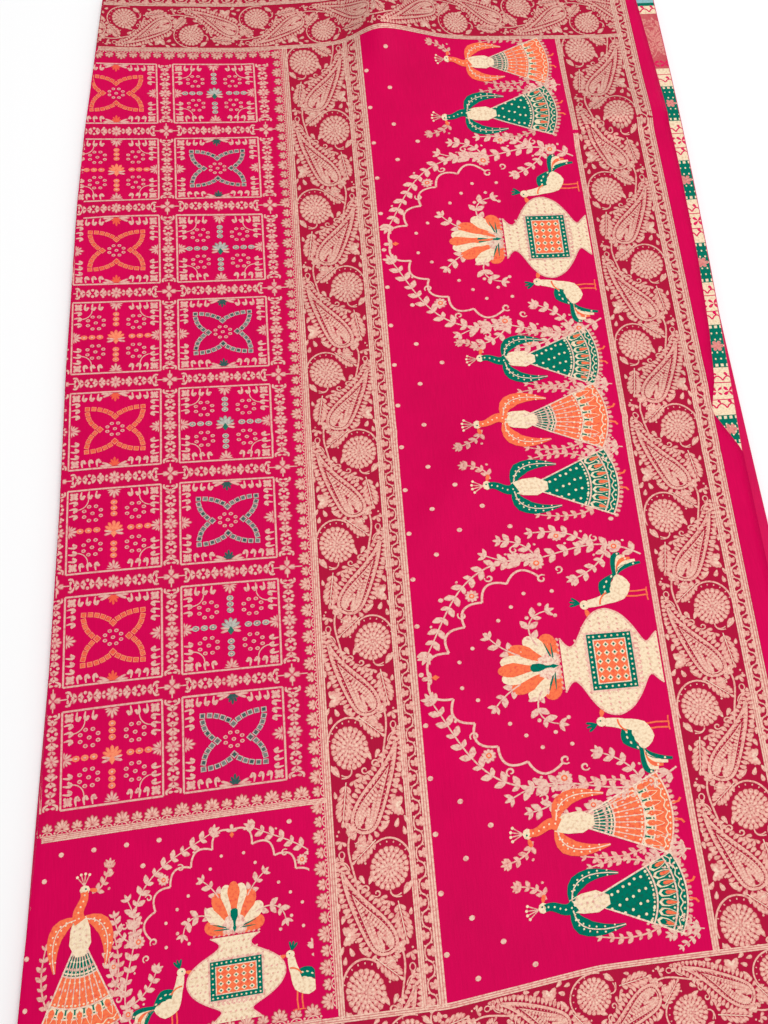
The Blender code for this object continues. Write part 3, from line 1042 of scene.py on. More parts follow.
def drawn_trefoil(drawn):
    """Three petals from one foot, the middle one the longest."""
    stamp(drawn, PETAL, 0, 0, 0, 1.0, 0.42, 1.0)
    stamp_round(drawn, PETAL, (62, -62), 0, 0, 0.8, 0.42)


def drawn_curl(drawn):
    """A tight curl, 1 across."""
    turns = np.radians(np.linspace(-40, 320, 12))
    radius = np.linspace(0.5, 0.16, 12)
    path = np.stack([radius * np.cos(turns), radius * np.sin(turns)], axis=1)
    ribbon(drawn, path, (0.14, 0.24, 0.12))


MUM, FEATHER_LEAF, LEAF = template(drawn_chrysanthemum), template(drawn_feather_leaf), template(drawn_leaf)
TREFOIL, CURL = template(drawn_trefoil), template(drawn_curl)

SPINE = (0.680, 0.240), (0.420, 0.300), (0.215, 0.560), (-0.120, 0.578)  # the paisley's, bulb to tip
PAISLEY_HALF_WIDTH = 0.134
SPINE_STEPS, LOOK_AHEAD = 200, 0.01


def measured(path):
    """How far along a path each of its points lies."""
    return np.concatenate([[0], np.cumsum(np.linalg.norm(np.diff(path, axis=0), axis=1))])


def point_on(path, length, place):
    """The point of a path at a place in its points' own measure."""
    return np.stack([np.interp(place, length, path[:, k]) for k in (0, 1)])


def paisley_outline(scale, steps=36):
    """A closed outline round the spine, drawn in towards its heart by scale."""
    start, end = (1 - scale) * 0.13, 1 - (1 - scale) * 0.95
    half_way = steps // 2 + 1
    share = np.concatenate([np.linspace(0, 1, half_way) ** 1.4, np.linspace(1, 0, half_way)[1:] ** 1.4])
    spine, measure = curve(*SPINE, steps=SPINE_STEPS), np.linspace(0, 1, SPINE_STEPS + 1)
    x, y = point_on(spine, measure, start + (end - start) * share)
    dx, dy = point_on(np.gradient(spine, axis=0), measure, start + (end - start) * share)
    size = np.hypot(dx, dy)
    half = PAISLEY_HALF_WIDTH * scale * np.sin(np.pi * share**0.52) ** 0.8 * (1 - share) ** 0.42
    half[half_way:] *= -1
    return np.stack([x - dy / size * half, y + dx / size * half], axis=1)


def drawn_paisley(drawn):
    """A paisley: rows of small ovals inside two lines that hold a row of dots, and teeth all round."""
    outline = paisley_outline(1.0, 72)
    length = measured(outline)
    for place in np.arange(0.0, length[-1], 0.042):
        x, y = here = point_on(outline, length, place)
        turn = turn_of(point_on(outline, length, place + LOOK_AHEAD) - here) + 90
        reach = 0.062 * (0.50 + 0.50 * min(1, math.hypot(x + 0.12, y - 0.578) / 0.35))
        stamp(drawn, PETAL, x, y, turn, reach, 0.036, 1.0)
        if x < 0.34:  # the tail's own row of teeth, inside it
            stamp(drawn, PETAL, x, y, turn + 180, 0.040, 0.034, 1.0)
    ribbon(drawn, paisley_outline(0.90), 0.024, 0.9)
    for x, y in paisley_outline(0.76, 44)[1:-1]:
        stamp(drawn, OVAL, x, y, 0, 0.014, 0.014, 0.6)
    ribbon(drawn, paisley_outline(0.65), 0.010)
    for scale, count in ((0.55, 38), (0.38, 28), (0.20, 16)):
        for x, y in paisley_outline(scale, count)[1:-1]:
            stamp(drawn, FULL_OVAL, x, y, 35, 0.040, 0.030, 1.6)


PAISLEY = template(drawn_paisley)


def drawn_band_repeat(drawn):
    """Half of the band's repeat: along it from its flower, and across it from its left line."""
    stamp(drawn, PAISLEY, 0, 0)
    stamp(drawn, MUM, 0, 0.190, 10, 0.185, 0.158)
    ribbon(drawn, arc((0, 0.190), 0.248, -70, -235, 16, 0.186), (0.012, 0.016, 0.016, 0.012))
    for turn in range(-110, -225, -18):
        c, s = heading(turn)
        stamp(drawn, OVAL, 0.216 * c, 0.190 + 0.172 * s, turn, 0.018, 0.012, 1.0)
    stamp(drawn, FEATHER_LEAF, -0.235, 0.290, 48, 0.240, 0.230)
    vine = curve((-0.36, 0.452), (-0.20, 0.560), (-0.05, 0.460), (0.205, 0.440), steps=12)
    ribbon(drawn, vine, 0.015)
    tendril = curve((0.560, 0.120), (0.660, 0.118), (0.70, 0.165), (0.640, 0.205), steps=8)
    ribbon(drawn, tendril, (0.008, 0.014))
    stamp_rows(
        drawn,
        (CURL, 0.145, 0.385, 120, 0.066), (LEAF, 0.115, 0.360, 205, 0.085),
        (LEAF, 0.105, 0.392, 155, 0.080), (LEAF, 0.090, 0.415, 100, 0.060, 0.080),
        (CURL, 0.190, 0.300, 20, 0.062, -0.062), (TREFOIL, 0.225, 0.275, -28, 0.070),
    )
    for shift in (0.0, 0.026):
        stem = curve((0.170 + shift, 0.196), (0.25, 0.195 - shift), (0.235 - shift, 0.110), steps=7)
        ribbon(drawn, stem, 0.011)
    stamp_rows(
        drawn,
        (LEAF, 0.225, 0.095, 212, 0.110, 0.120), (TREFOIL, 0.262, 0.208, 20, 0.066),
        (FEATHER_LEAF, 0.285, 0.140, -8, 0.310, 0.240), (LEAF, 0.590, 0.135, 30, 0.080, 0.090),
        (TREFOIL, -0.262, 0.552, 20, 0.070), (LEAF, -0.275, 0.470, 160, 0.070, 0.08),
        (FEATHER_LEAF, -0.235, 0.445, -62, 0.105, 0.150), (LEAF, -0.210, 0.430, -95, 0.070, 0.090),
    )
    ribbon(drawn, arc((-0.150, 0.556), 0.030, 0, 360, 10, 0.022), 0.010)
    for reach in (0.0, 0.028):
        stem = curve((-0.020 + reach, 0.500), (-0.10, 0.515 + reach), (-0.095, 0.592), steps=6)
        ribbon(drawn, stem, (0.008, 0.014))
    for turn in range(-100, 101, 25):
        stamp(drawn, PETAL, 0.500, 0.560, turn + 270, 0.078, 0.034, 1.0)
        stamp(drawn, PETAL, 0.500, 0.560, turn + 262, 0.045, 0.024, 1.7)
    for x, y, turn, size in (
        (0.405, 0.590, 200, 0.075), (0.340, 0.560, 215, 0.07), (0.300, 0.600, 170, 0.07),
        (0.235, 0.585, 190, 0.065), (0.575, 0.585, 30, 0.075), (0.590, 0.540, -20, 0.075),
        (0.600, 0.470, -50, 0.090), (0.655, 0.575, 10, 0.07), (0.165, 0.600, 180, 0.06),
        (0.330, 0.045, 10, 0.06), (0.120, 0.030, 20, 0.06),
    ):
        stamp(drawn, LEAF, x, y, turn, size, size * 1.1)
    for x, y in (
        (0.44, 0.50), (0.55, 0.49), (0.27, 0.545), (0.05, 0.34), (-0.06, 0.375), (0.64, 0.06), (0.67, 0.045)
    ):
        stamp(drawn, OVAL, x, y, 0, 0.020, 0.018, 1.0)


BAND_REPEAT = template(drawn_band_repeat)
bands = bmesh.new()
# Where each band's flowers lie across the sari, uneven on the left as they were woven
LEFT_FLOWERS = (
    0.83, -0.12, -1.04, -2.06, -3.03, -4.01, -4.89, -5.82, -6.77, -7.70, -8.71, -9.61, -10.56
)
RIGHT_FLOWERS = [-0.085 - REPEAT * index for index in range(-1, 12)]
for line, flowers in ((LINE_LEFT[0], LEFT_FLOWERS), (LINE_RIGHT[0] + 0.02, RIGHT_FLOWERS)):
    for index, across in enumerate(flowers[:-1]):
        flip = index % 2 == 0  # every other half is mirrored, from the band's right line
        left = line + 0.004 + (BAND_WIDTH if flip else 0)
        stretch = (across - flowers[index + 1]) / REPEAT
        stamp(bands, BAND_REPEAT, left, across, -90, stretch, -1.0 if flip else 1.0)
far_clip, near_clip = ((0, FAR_LINE - 0.02), (0, 1)), ((0, NEAR_LINE + 0.02), (0, -1))
lay(bands, "pallu_bands_zari", ZARI, clip=(far_clip, near_clip))

long_borders = bmesh.new()
for line, across, first in ((FAR_LINE, 1, 1.288), (NEAR_LINE, -1, 4.134)):
    for index in range(-8, 9):
        flip = index % 2
        low = line + across * (0.02 + (LONG_WIDTH if flip else 0))
        width = across * (LONG_WIDTH / BAND_WIDTH) * (-1.0 if flip else 1.0)
        along = first + index * LONG_REPEAT
        stamp(long_borders, BAND_REPEAT, along, low, 0, LONG_REPEAT / REPEAT, width)
for across in (FAR_LINE + 0.65, FAR_LINE + 0.79, NEAR_LINE - 0.65, NEAR_LINE - 0.79):
    gold_line(long_borders, (LINE_START, across), (LINE_RIGHT[1], across), 0.044)
lay(long_borders, "long_borders_zari", ZARI, clip=(((LINE_RIGHT[1] - 0.01, 0), (1, 0)),))

# ---------------------------------------------------------------------------
# The scroll strips: a thin vine waving between two gold lines, with a bud in every trough.
# ---------------------------------------------------------------------------
SCROLL_WAVE = 0.246


def drawn_scroll(drawn):
    """One wave of the vine, with a bud of five petals and two dots in its trough and on its crest."""
    wave = np.linspace(0, SCROLL_WAVE, 15)
    turns = wave / SCROLL_WAVE * 2 * np.pi
    ribbon(drawn, np.stack([wave + 0.012 * np.sin(2 * turns), 0.034 * np.cos(turns)], axis=1), 0.013)
    for x, side in ((0.0, -1), (SCROLL_WAVE / 2, 1)):
        for turn, reach in ((0, 0.058), (52, 0.048), (-52, 0.048), (100, 0.036), (-100, 0.036)):
            stamp(drawn, PETAL, x - 0.018, side * 0.016, turn + side * 26, reach, 0.031, 1.0)
        for off in (0.052, -0.052):
            stamp(drawn, OVAL, x + off, -side * 0.030, 0, 0.016, 0.014, 1.0)
        stem = (x - 0.045, side * 0.030), (x - 0.03, side * 0.024), (x - 0.012, side * 0.014)
        ribbon(drawn, stem, 0.008)


SCROLL = template(drawn_scroll)
scrolls = bmesh.new()
for (low, high), first, waves in ((LINE_LEFT[1:], 0.10, 41), (LINE_RIGHT[1:], 0.838, 47)):
    middle = (low + LINE_WIDTHS[1] / 2 + high - LINE_WIDTHS[2] / 2) / 2
    for index in range(waves):
        stamp(scrolls, SCROLL, middle, first - index * SCROLL_WAVE, -90, 1.0, 0.95)
for line, across in ((FAR_LINE, 1), (NEAR_LINE, -1)):
    for index in range(25):
        stamp(scrolls, SCROLL, LINE_START + index * SCROLL_WAVE, line + across * 0.72, 0, 1.0, 1.15)
lay(scrolls, "scroll_strips_zari", ZARI, clip=(((5.90, 0), (1, 0)),))

# ---------------------------------------------------------------------------
# The pallu's panel and the field below the checks: plain ground with cusped arches over flower
# vases, fan-tailed peacocks and leafy stems, in ivory, orange and green silk edged with zari.
# ---------------------------------------------------------------------------
COLOURS = ("ivory", "orange", "green", "zari", "pale")


def drawn_parts(draw, *values):
    """A motif of several colours, as one template for each."""
    parts = {colour: bmesh.new() for colour in COLOURS}
    draw(parts, *values)
    return {colour: kept(drawn) for colour, drawn in parts.items()}


def stamp_parts(parts, motifs, along, across, turn=0.0, size=1.0, mirrored=False):
    """Stamps each colour of a motif into the floats of that colour."""
    for colour, motif in motifs.items():
        if len(motif[1]):
            stamp(parts[colour], motif, along, across, turn, -size if mirrored else size, size)


def leafy_stem(floats, path, leaf, spacing=0.116, width=0.016):
    """A stem with leaves in pairs along it, and a bud at its end."""
    ribbon(floats, path, (width, width * 0.7))
    length = measured(path)
    for number, place in enumerate(np.arange(spacing * 0.6, length[-1] - spacing * 0.3, spacing)):
        x, y = here = point_on(path, length, place)
        ahead = point_on(path, length, place + LOOK_AHEAD) - here
        turn = turn_of(ahead)
        for side in SIDES:
            reach = leaf * (1.15 if (number + side) % 3 else 0.85)
            stamp(floats, LEAFLET, x, y, turn + side * 46, reach, reach * 0.52, 1.1)
        if number % 4 == 1:
            stamp(floats, OVAL, x + ahead[1] * 7, y - ahead[0] * 7, turn, 0.026, 0.022, 1.0)
    turn = turn_of(path[-1] - path[-2])
    stamp_round(floats, LEAFLET, (turn, turn + 48, turn - 48), *path[-1], leaf * 0.9, leaf * 0.36, 1.1)


def sided(side, *points, steps):
    """A curve drawn on the right, or mirrored to the left when side is -1."""
    return curve(*((side * x, y) for x, y in points), steps=steps)


def filled(floats, left, right, lift, rows=6):
    """A float between two outlines of as many points, in cells small enough to follow the cloth."""
    mesh = cells(len(left), rows)
    left, right = np.asarray(left, float), np.asarray(right, float)
    share = np.linspace(0, 1, rows + 1)[:, None, None]
    placed = (left * (1 - share) + right * share).reshape(-1, 2)
    mesh.vertices.foreach_set("co", np.column_stack([placed, np.full(len(placed), lift)]).ravel())
    floats.from_mesh(mesh)


TRAIN_TOP, TRAIN_SPREAD = 0.88, 26.0


def on_train(turn, reach):
    """A point of a peacock's train, a reach away from the bird and a turn off straight down."""
    c, s = heading(turn)
    return s * reach, TRAIN_TOP - c * reach


def fanned(count):
    """Evenly spread turns from one side of the train to the other."""
    return np.linspace(-TRAIN_SPREAD, TRAIN_SPREAD, count)


def train_band(floats, inner, outer, lift):
    """A band of the train, from one reach to another."""
    edges = [[on_train(turn, reach) for turn in fanned(13)] for reach in (inner, outer)]
    filled(floats, *edges, lift, max(1, round((outer - inner) / 0.06)))


def drawn_train(parts, feather, other):
    """The train, in bands edged with zari. The orange one is pleated and lozenged, the green spotted."""
    ivory, orange, zari = parts["ivory"], parts["orange"], parts["zari"]
    pleated = feather == "orange"
    bands = (0.10, 0.56, feather), (0.56, 0.72, feather), (0.72, 0.80, feather)
    if pleated:
        bands = (0.10, 0.34, other), (0.34, 0.58, feather), (0.58, 0.66, other), (0.66, 0.80, feather)
    for inner, outer, colour in bands:
        train_band(parts[colour], inner, outer, 0.7)
        train_band(zari, outer - 0.007, outer + 0.007, 1.5)
        for turn in fanned(15):
            stamp(ivory, OVAL, *on_train(turn, outer - 0.024), turn, 0.020, 0.017, 1.6)
    if pleated:
        for turn in fanned(9):
            ribbon(zari, [on_train(turn, reach) for reach in (0.12, 0.28, 0.44, 0.58)], 0.010, 1.3)
        for row, reach in enumerate((0.16, 0.22, 0.28, 0.38, 0.44, 0.50)):
            for turn in fanned(17)[1 + row % 2 : -1 : 2]:
                stamp((zari, ivory)[row % 2], DIAMOND, *on_train(turn, reach), turn, 0.022, 0.030, 1.5)
    else:
        for row, reach in enumerate(np.arange(0.15, 0.55, 0.055)):
            for turn in fanned(3 + row)[1 - row % 2 : -1 : 2]:
                stamp(ivory, OVAL, *on_train(turn + row % 2 * 2, reach), turn, 0.026, 0.024, 1.5)
    for turn in fanned(15)[1::2]:
        stamp(ivory, PETAL, *on_train(turn, 0.735), 90 + turn, 0.165, 0.062, 1.5)
        stamp(parts[feather], PETAL, *on_train(turn, 0.728), 90 + turn, 0.135, 0.046, 1.8)
        stamp(orange, PETAL, *on_train(turn, 0.720), 90 + turn, 0.095, 0.030, 2.1)
    waves = [(turn, math.cos(math.radians(turn * 7 * 180 / TRAIN_SPREAD))) for turn in fanned(57)]
    ribbon(ivory, [on_train(turn, 0.752 + 0.010 * wave) for turn, wave in waves], 0.009, 1.8)
    for turn in fanned(16):
        stamp(zari, LOBE, *on_train(turn, 0.80), turn - 90, 0.045, 0.036, 1.0)


def drawn_peacock(parts, feather, other):
    """A peacock from behind, with its train fanned out below it, 1.4 high."""
    ivory, orange, green, zari = parts["ivory"], parts["orange"], parts["green"], parts["zari"]
    drawn_train(parts, feather, other)
    for side in SIDES:
        edge = [on_train(side * TRAIN_SPREAD, reach) for reach in (0.06, 0.3, 0.55, 0.82)]
        ribbon(zari, edge, 0.014, 1.7)
        ribbon(orange, [(side * 0.07, 0.07), (side * 0.08, 0.02), (side * 0.11, 0.0)], 0.018, 1.0)
        wing = sided(side, (0.04, 1.00), (0.30, 0.98), (0.22, 0.60), steps=8)
        ribbon(parts[feather], wing, (0.05, 0.14, 0.11, 0.02), 1.9)
        ribbon(zari, wing, 0.010, 2.8)
        for x, y in wing[1:-1]:
            stamp(ivory, OVAL, x + side * 0.022, y, 0, 0.018, 0.016, 3.0)
            stamp(ivory, OVAL, x - side * 0.022, y, 0, 0.016, 0.014, 3.0)
    ribbon(ivory, [(0, 0.70), (0, 0.80), (0, 0.92), (0, 1.02)], (0.08, 0.19, 0.17, 0.10), 2.0)
    for y in (0.76, 0.81, 0.86, 0.91, 0.96):
        for x in (-0.05, 0.0, 0.05):
            stamp(zari, OVAL, x, y + (x == 0) * 0.02, 30, 0.026, 0.020, 2.2)
    neck = curve((0, 0.98), (-0.07, 1.08), (0.06, 1.12), (0.03, 1.22), steps=10)
    ribbon(parts[feather], neck, (0.11, 0.080, 0.064), 2.1)
    for x, y in neck[1:-1:2]:
        stamp(ivory, OVAL, x, y, 0, 0.018, 0.016, 2.5)
    stamp(ivory, OVAL, 0.035, 1.235, 0, 0.092, 0.078, 2.3)
    stamp(orange, PETAL, 0.065, 1.235, -14, 0.085, 0.032, 2.4)
    stamp(green, OVAL, 0.045, 1.242, 0, 0.018, 0.016, 2.8)
    for turn in (62, 84, 106, 128):
        c, s = heading(turn)
        ribbon(zari, [(0.03, 1.27), (0.03 + c * 0.09, 1.27 + s * 0.09)], 0.009)
        stamp(ivory, OVAL, 0.03 + c * 0.10, 1.27 + s * 0.10, 0, 0.026, 0.024, 1.0)
    leafy_stem(zari, curve((0.10, 1.20), (0.22, 1.22), (0.25, 1.42), steps=8), 0.062, 0.07)
    for side in SIDES:
        leafy_stem(zari, sided(side, (0.26, 0.30), (0.38, 0.50), (0.30, 0.80), steps=8), 0.060, 0.075)


def drawn_side_bird(parts):
    """A bird seen from its side, looking right, its tail trailing down: 0.8 high."""
    ivory, green, orange = parts["ivory"], parts["green"], parts["orange"]
    body = curve((-0.20, 0.30), (-0.06, 0.20), (0.10, 0.36), (0.12, 0.62), steps=12)
    ribbon(ivory, body, (0.05, 0.22, 0.24, 0.12, 0.09), 1.0)
    stamp(ivory, DISC, 0.13, 0.66, 0, 0.11, 0.10, 1.2)
    stamp(orange, PETAL, 0.17, 0.66, -15, 0.11, 0.045, 1.4)
    stamp(green, OVAL, 0.14, 0.67, 0, 0.020, 0.018, 1.8)
    stamp_round(green, PETAL, (80, 105, 130), 0.11, 0.70, 0.12, 0.026, 1.2)
    for shift, colour in (
        (0.0, "green"), (0.05, "ivory"), (0.10, "orange"), (0.15, "ivory"), (0.20, "green")
    ):
        tail = curve((-0.12, 0.30), (-0.30 - shift, 0.34), (-0.34 - shift * 0.6, 0.02 + shift), steps=8)
        ribbon(parts[colour], tail, (0.03, 0.050, 0.055, 0.03), 0.5 + shift * 2)
        stamp(ivory, OVAL, *tail[-2], 0, 0.026, 0.022, 1.4)
    wing = curve((0.02, 0.42), (-0.10, 0.48), (-0.22, 0.30), steps=8)
    ribbon(green, wing, (0.10, 0.13, 0.02), 1.4)
    for x, y in wing[1:-1:2]:
        stamp(ivory, OVAL, x, y, 20, 0.034, 0.020, 1.8)
    ribbon(orange, curve((0.0, 0.42), (0.05, 0.50), (0.14, 0.50), steps=5), 0.018, 1.6)
    for x in (0.0, 0.06):
        ribbon(orange, [(x, 0.24), (x + 0.01, 0.12), (x, 0.0)], 0.018, 1.0)
        ribbon(orange, [(x - 0.03, 0.0), (x + 0.02, 0.006), (x + 0.07, 0.0)], 0.013, 1.0)


def drawn_vase(parts):
    """A flower vase draped with a chequered cloth, and a lotus with leaves standing in it: 1.5 high."""
    ivory, orange, green, zari, pale = (parts[colour] for colour in COLOURS)
    heights = np.linspace(0.0, 0.83, 34)
    widths = from_table(
        (
            (0.0, 0.50), (0.05, 0.42), (0.10, 0.20), (0.18, 0.60), (0.28, 0.90), (0.40, 1.04),
            (0.52, 0.98), (0.62, 0.72), (0.70, 0.34), (0.77, 0.28), (0.83, 0.52),
        ),
        heights
    )
    for _ in range(3):
        widths[1:-1] = (widths[:-2] + 2 * widths[1:-1] + widths[2:]) / 4
    left, right = (np.stack([side * widths / 2, heights], axis=1) for side in (-1, 1))
    filled(ivory, left, right, 0.8, 14)
    for y, width in zip(heights[::3], widths[::3]):
        for x in np.arange(-width / 2 + 0.03, width / 2 - 0.01, 0.052):
            stamp(zari, OVAL, x + (y * 37 % 1) * 0.02, y + 0.02, 30, 0.034, 0.022, 1.0)
    for outline in (right, left):
        ribbon(zari, outline, 0.016, 1.2)
    for low, high, half, floats, lift in (
        (0.20, 0.62, 0.29, zari, 1.3), (0.22, 0.60, 0.27, green, 1.5),
        (0.27, 0.55, 0.215, zari, 1.7), (0.28, 0.54, 0.205, orange, 1.8),
    ):
        edges = [np.linspace((side * half, low), (side * half, high), 7) for side in (-1, 1)]
        filled(floats, *edges, lift, 8)
    for x in np.linspace(-0.16, 0.16, 5):
        for y in np.linspace(0.31, 0.51, 4):
            stamp(ivory, DIAMOND, x, y, 0, 0.062, 0.052, 2.6)
            stamp(green, DIAMOND, x, y, 0, 0.028, 0.024, 2.9)
    for x in np.linspace(-0.245, 0.245, 11):
        for y in (0.243, 0.577):
            stamp(ivory, OVAL, x, y, 0, 0.020, 0.018, 1.9)
        stamp(zari, OVAL, x, 0.185, 0, 0.026, 0.034, 1.2)
    for y in np.linspace(0.28, 0.54, 6):
        for x in (-0.243, 0.243):
            stamp(ivory, OVAL, x, y, 0, 0.020, 0.018, 1.9)
    for side in SIDES:
        spray = sided(side, (0.06, 0.84), (0.20, 1.12), (0.50, 1.16), (0.54, 0.92), steps=14)
        leafy_stem(pale, spray, 0.095)
        leafy_stem(pale, sided(side, (0.03, 0.86), (0.10, 1.25), (0.32, 1.42), steps=12), 0.090)
        for turn, reach in ((18, 0.26), (2, 0.24)):
            stamp(green, LEAF, side * 0.03, 0.90, 90 - side * (90 - turn), reach, reach * 0.85)
    for turn, colour, reach, width, lift in (
        (72, "orange", 0.33, 0.13, 1.3), (48, "ivory", 0.40, 0.13, 1.45), (26, "orange", 0.46, 0.14, 1.6),
        (10, "ivory", 0.50, 0.13, 1.75),
    ):
        for side in SIDES:
            stamp(parts[colour], BIG_PETAL, 0, 0.86, 90 - side * turn, reach, width, lift)
            stamp(zari, PETAL, 0, 0.86, 90 - side * turn, reach * 0.42, width * 0.5, lift + 0.4)
    stamp(orange, BIG_PETAL, 0, 0.86, 90, 0.52, 0.12, 2.0)
    stamp(green, PETAL, 0, 0.86, 90, 0.26, 0.075, 2.5)


ARCH_FOOT, ARCH_SHOULDER, ARCH_TIP = 0.88, 0.92, 1.92


def outside(x, y, middle_x, middle_y, half_width, half_height):
    """Whether a point lies outside an ellipse."""
    return ((x - middle_x) / half_width) ** 2 + ((y - middle_y) / half_height) ** 2 > 1


def drawn_arch(parts):
    """A cusped arch that springs from a curl at either side, with leafy stems and flowers climbing
    outside it and rows of dots within it."""
    pale, orange = parts["pale"], parts["orange"]
    for side in SIDES:
        spring, shoulder = (ARCH_FOOT, ARCH_SHOULDER), (ARCH_FOOT, 1.50)
        rise = sided(side, spring, shoulder, (0.34, 1.56), (0, ARCH_TIP), steps=60)
        length = measured(rise)
        cusps = np.linspace(0, length[-1], 6)
        for first, last in zip(cusps[:-1], cusps[1:]):
            a, b = point_on(rise, length, first), point_on(rise, length, last)
            out = np.array([(b - a)[1], -(b - a)[0]]) * side
            ribbon(pale, curve(a, (a + b) / 2 + out * 0.70, b, steps=9), 0.020)
        curl_x, curl_y = side * (ARCH_FOOT - 0.03), ARCH_SHOULDER - 0.03
        stamp(pale, CURL, curl_x, curl_y, 90 - side * 90, 0.085, side * 0.085)
        for points, steps in (
            (((1.02, 0.02), (1.38, 0.52), (0.86, 0.86), (1.12, 1.34)), 22),
            (((1.06, 0.98), (1.10, 1.62), (0.56, 1.72), (0.20, 1.93)), 24),
        ):
            leafy_stem(pale, sided(side, *points, steps=steps), 0.092)
        for points, leaf in (
            (((1.13, 0.44), (1.34, 0.56), (1.32, 0.92)), 0.084),
            (((1.02, 0.90), (1.24, 0.96), (1.26, 1.20)), 0.084),
            (((1.14, 0.30), (0.92, 0.36), (0.82, 0.62)), 0.080),
        ):
            leafy_stem(pale, sided(side, *points, steps=9), leaf, 0.095)
        for x, y, size in (
            (1.12, 0.24, 0.066), (1.01, 0.92, 0.070), (0.74, 1.50, 0.062), (1.27, 0.72, 0.056)
        ):
            stamp_round(pale, LOBE, range(0, 360, 36), side * x, y, size, size * 0.52)
            stamp(orange, OVAL, side * x, y, 0, size * 0.8, size * 0.8, 1.9)
            stamp(pale, OVAL, side * x, y, 0, size * 0.4, size * 0.4, 2.4)
        for x, y, turn in (
            (1.22, 0.40, 60), (0.93, 0.74, 200), (1.16, 1.10, 20), (0.90, 1.34, 120), (0.56, 1.60, 90)
        ):
            stamp(pale, CURL, side * x, y, turn, 0.078, side * 0.078)
    for x in np.arange(-0.72, 0.73, 0.12):
        for y in np.arange(0.10 + (round(x / 0.12) % 2) * 0.12, 1.78, 0.24):
            in_arch = abs(x) < 0.78 - max(0, y - 1.0) * 0.80
            off_vase = outside(x, y, 0, 0.42, 0.58, 0.50) and outside(x, y, 0, 1.12, 0.42, 0.42)
            off_birds = y > 0.78 or abs(x) < 0.30
            if in_arch and off_vase and off_birds:
                stamp(pale, OVAL, x, y, 0, 0.036, 0.036, 1.0)
    stamp(pale, TREFOIL, 0, ARCH_TIP - 0.02, 90, 0.085)
    stamp(orange, DIAMOND, 0, ARCH_TIP - 0.05, 0, 0.05, 0.07, 1.6)


def drawn_plant(parts):
    """A small flowering plant, 0.5 high."""
    pale = parts["pale"]
    leafy_stem(pale, curve((0, 0), (0.05, 0.2), (-0.03, 0.42), steps=8), 0.105, 0.10)
    for side in SIDES:
        leafy_stem(pale, sided(side, (0, 0.05), (0.12, 0.16), (0.20, 0.30), steps=6), 0.080, 0.09)


PEACOCKS = drawn_parts(drawn_peacock, "orange", "green"), drawn_parts(drawn_peacock, "green", "orange")
VASE, ARCH, SIDE_BIRD = drawn_parts(drawn_vase), drawn_parts(drawn_arch), drawn_parts(drawn_side_bird)
PLANT = drawn_parts(drawn_plant)
panel = {colour: bmesh.new() for colour in COLOURS}
PANEL_GROUND = 5.055  # the line the panel's motifs stand on, their tops towards the body
ARCHES = -2.53, -7.18
BIRD_OFF = 0.66  # how far a small bird stands from its vase
for across in ARCHES:
    stamp_parts(panel, ARCH, PANEL_GROUND, across, 90)
    stamp_parts(panel, VASE, PANEL_GROUND, across, 90, 0.98)
    for side in SIDES:
        stamp_parts(panel, SIDE_BIRD, PANEL_GROUND - 0.02, across - side * BIRD_OFF, 90, 0.82, side < 0)
for across, size, kind, mirrored in (
    (-0.22, 0.90, 0, False), (-0.90, 0.98, 1, True), (-3.98, 0.94, 1, False), (-4.66, 1.02, 0, True),
    (-5.38, 1.00, 1, False), (-8.58, 1.00, 0, True), (-9.26, 0.96, 1, False),
):
    stamp_parts(panel, PEACOCKS[kind], PANEL_GROUND - 0.03, across, 90, size, mirrored)
for across, size in ((-0.56, 0.7), (-4.32, 0.7), (-5.02, 0.7), (-8.92, 0.7), (-9.58, 0.6)):
    stamp_parts(panel, PLANT, PANEL_GROUND - 0.02, across, 90, size)
FIELD_GROUND, FIELD_MIDDLE, FIELD_END, FIELD_SIZE = -9.665, 1.46, 2.06, 0.74
field = {colour: bmesh.new() for colour in COLOURS}
stamp_parts(field, ARCH, FIELD_MIDDLE, FIELD_GROUND, 0, FIELD_SIZE)
stamp_parts(field, VASE, FIELD_MIDDLE, FIELD_GROUND, 0, FIELD_SIZE)
for side in SIDES:
    stamp_parts(field, SIDE_BIRD, FIELD_MIDDLE - side * 0.50, FIELD_GROUND, 0, 0.62, side < 0)
stamp_parts(field, PEACOCKS[0], 0.26, FIELD_GROUND + 0.02, 0, 0.90)
for colour, drawn in field.items():
    cut(drawn, (FIELD_END, 0), (1, 0))
    panel[colour].from_mesh(kept(drawn)[0])

# Single dots scattered over the plain ground, where no motif stands
BARE_OF_DOTS = [(4.15, across, 1.02, 1.30) for across in ARCHES]  # ellipses: middles and half axes
BARE_OF_DOTS += [(4.40, -0.56, 0.95, 0.80), (4.40, -4.68, 0.98, 1.12), (4.40, -8.92, 0.95, 0.80)]
BARE_OF_DOTS += [(1.46, -9.20, 1.02, 1.06), (0.24, -9.10, 0.36, 0.70)]


def dot_if_clear(along, across, length, width):
    """A dot of the plain ground, unless a motif stands there."""
    if all(outside(along, across, *bare) for bare in BARE_OF_DOTS):
        stamp(panel["pale"], OVAL, along, across, 0, length, width, 1.0)


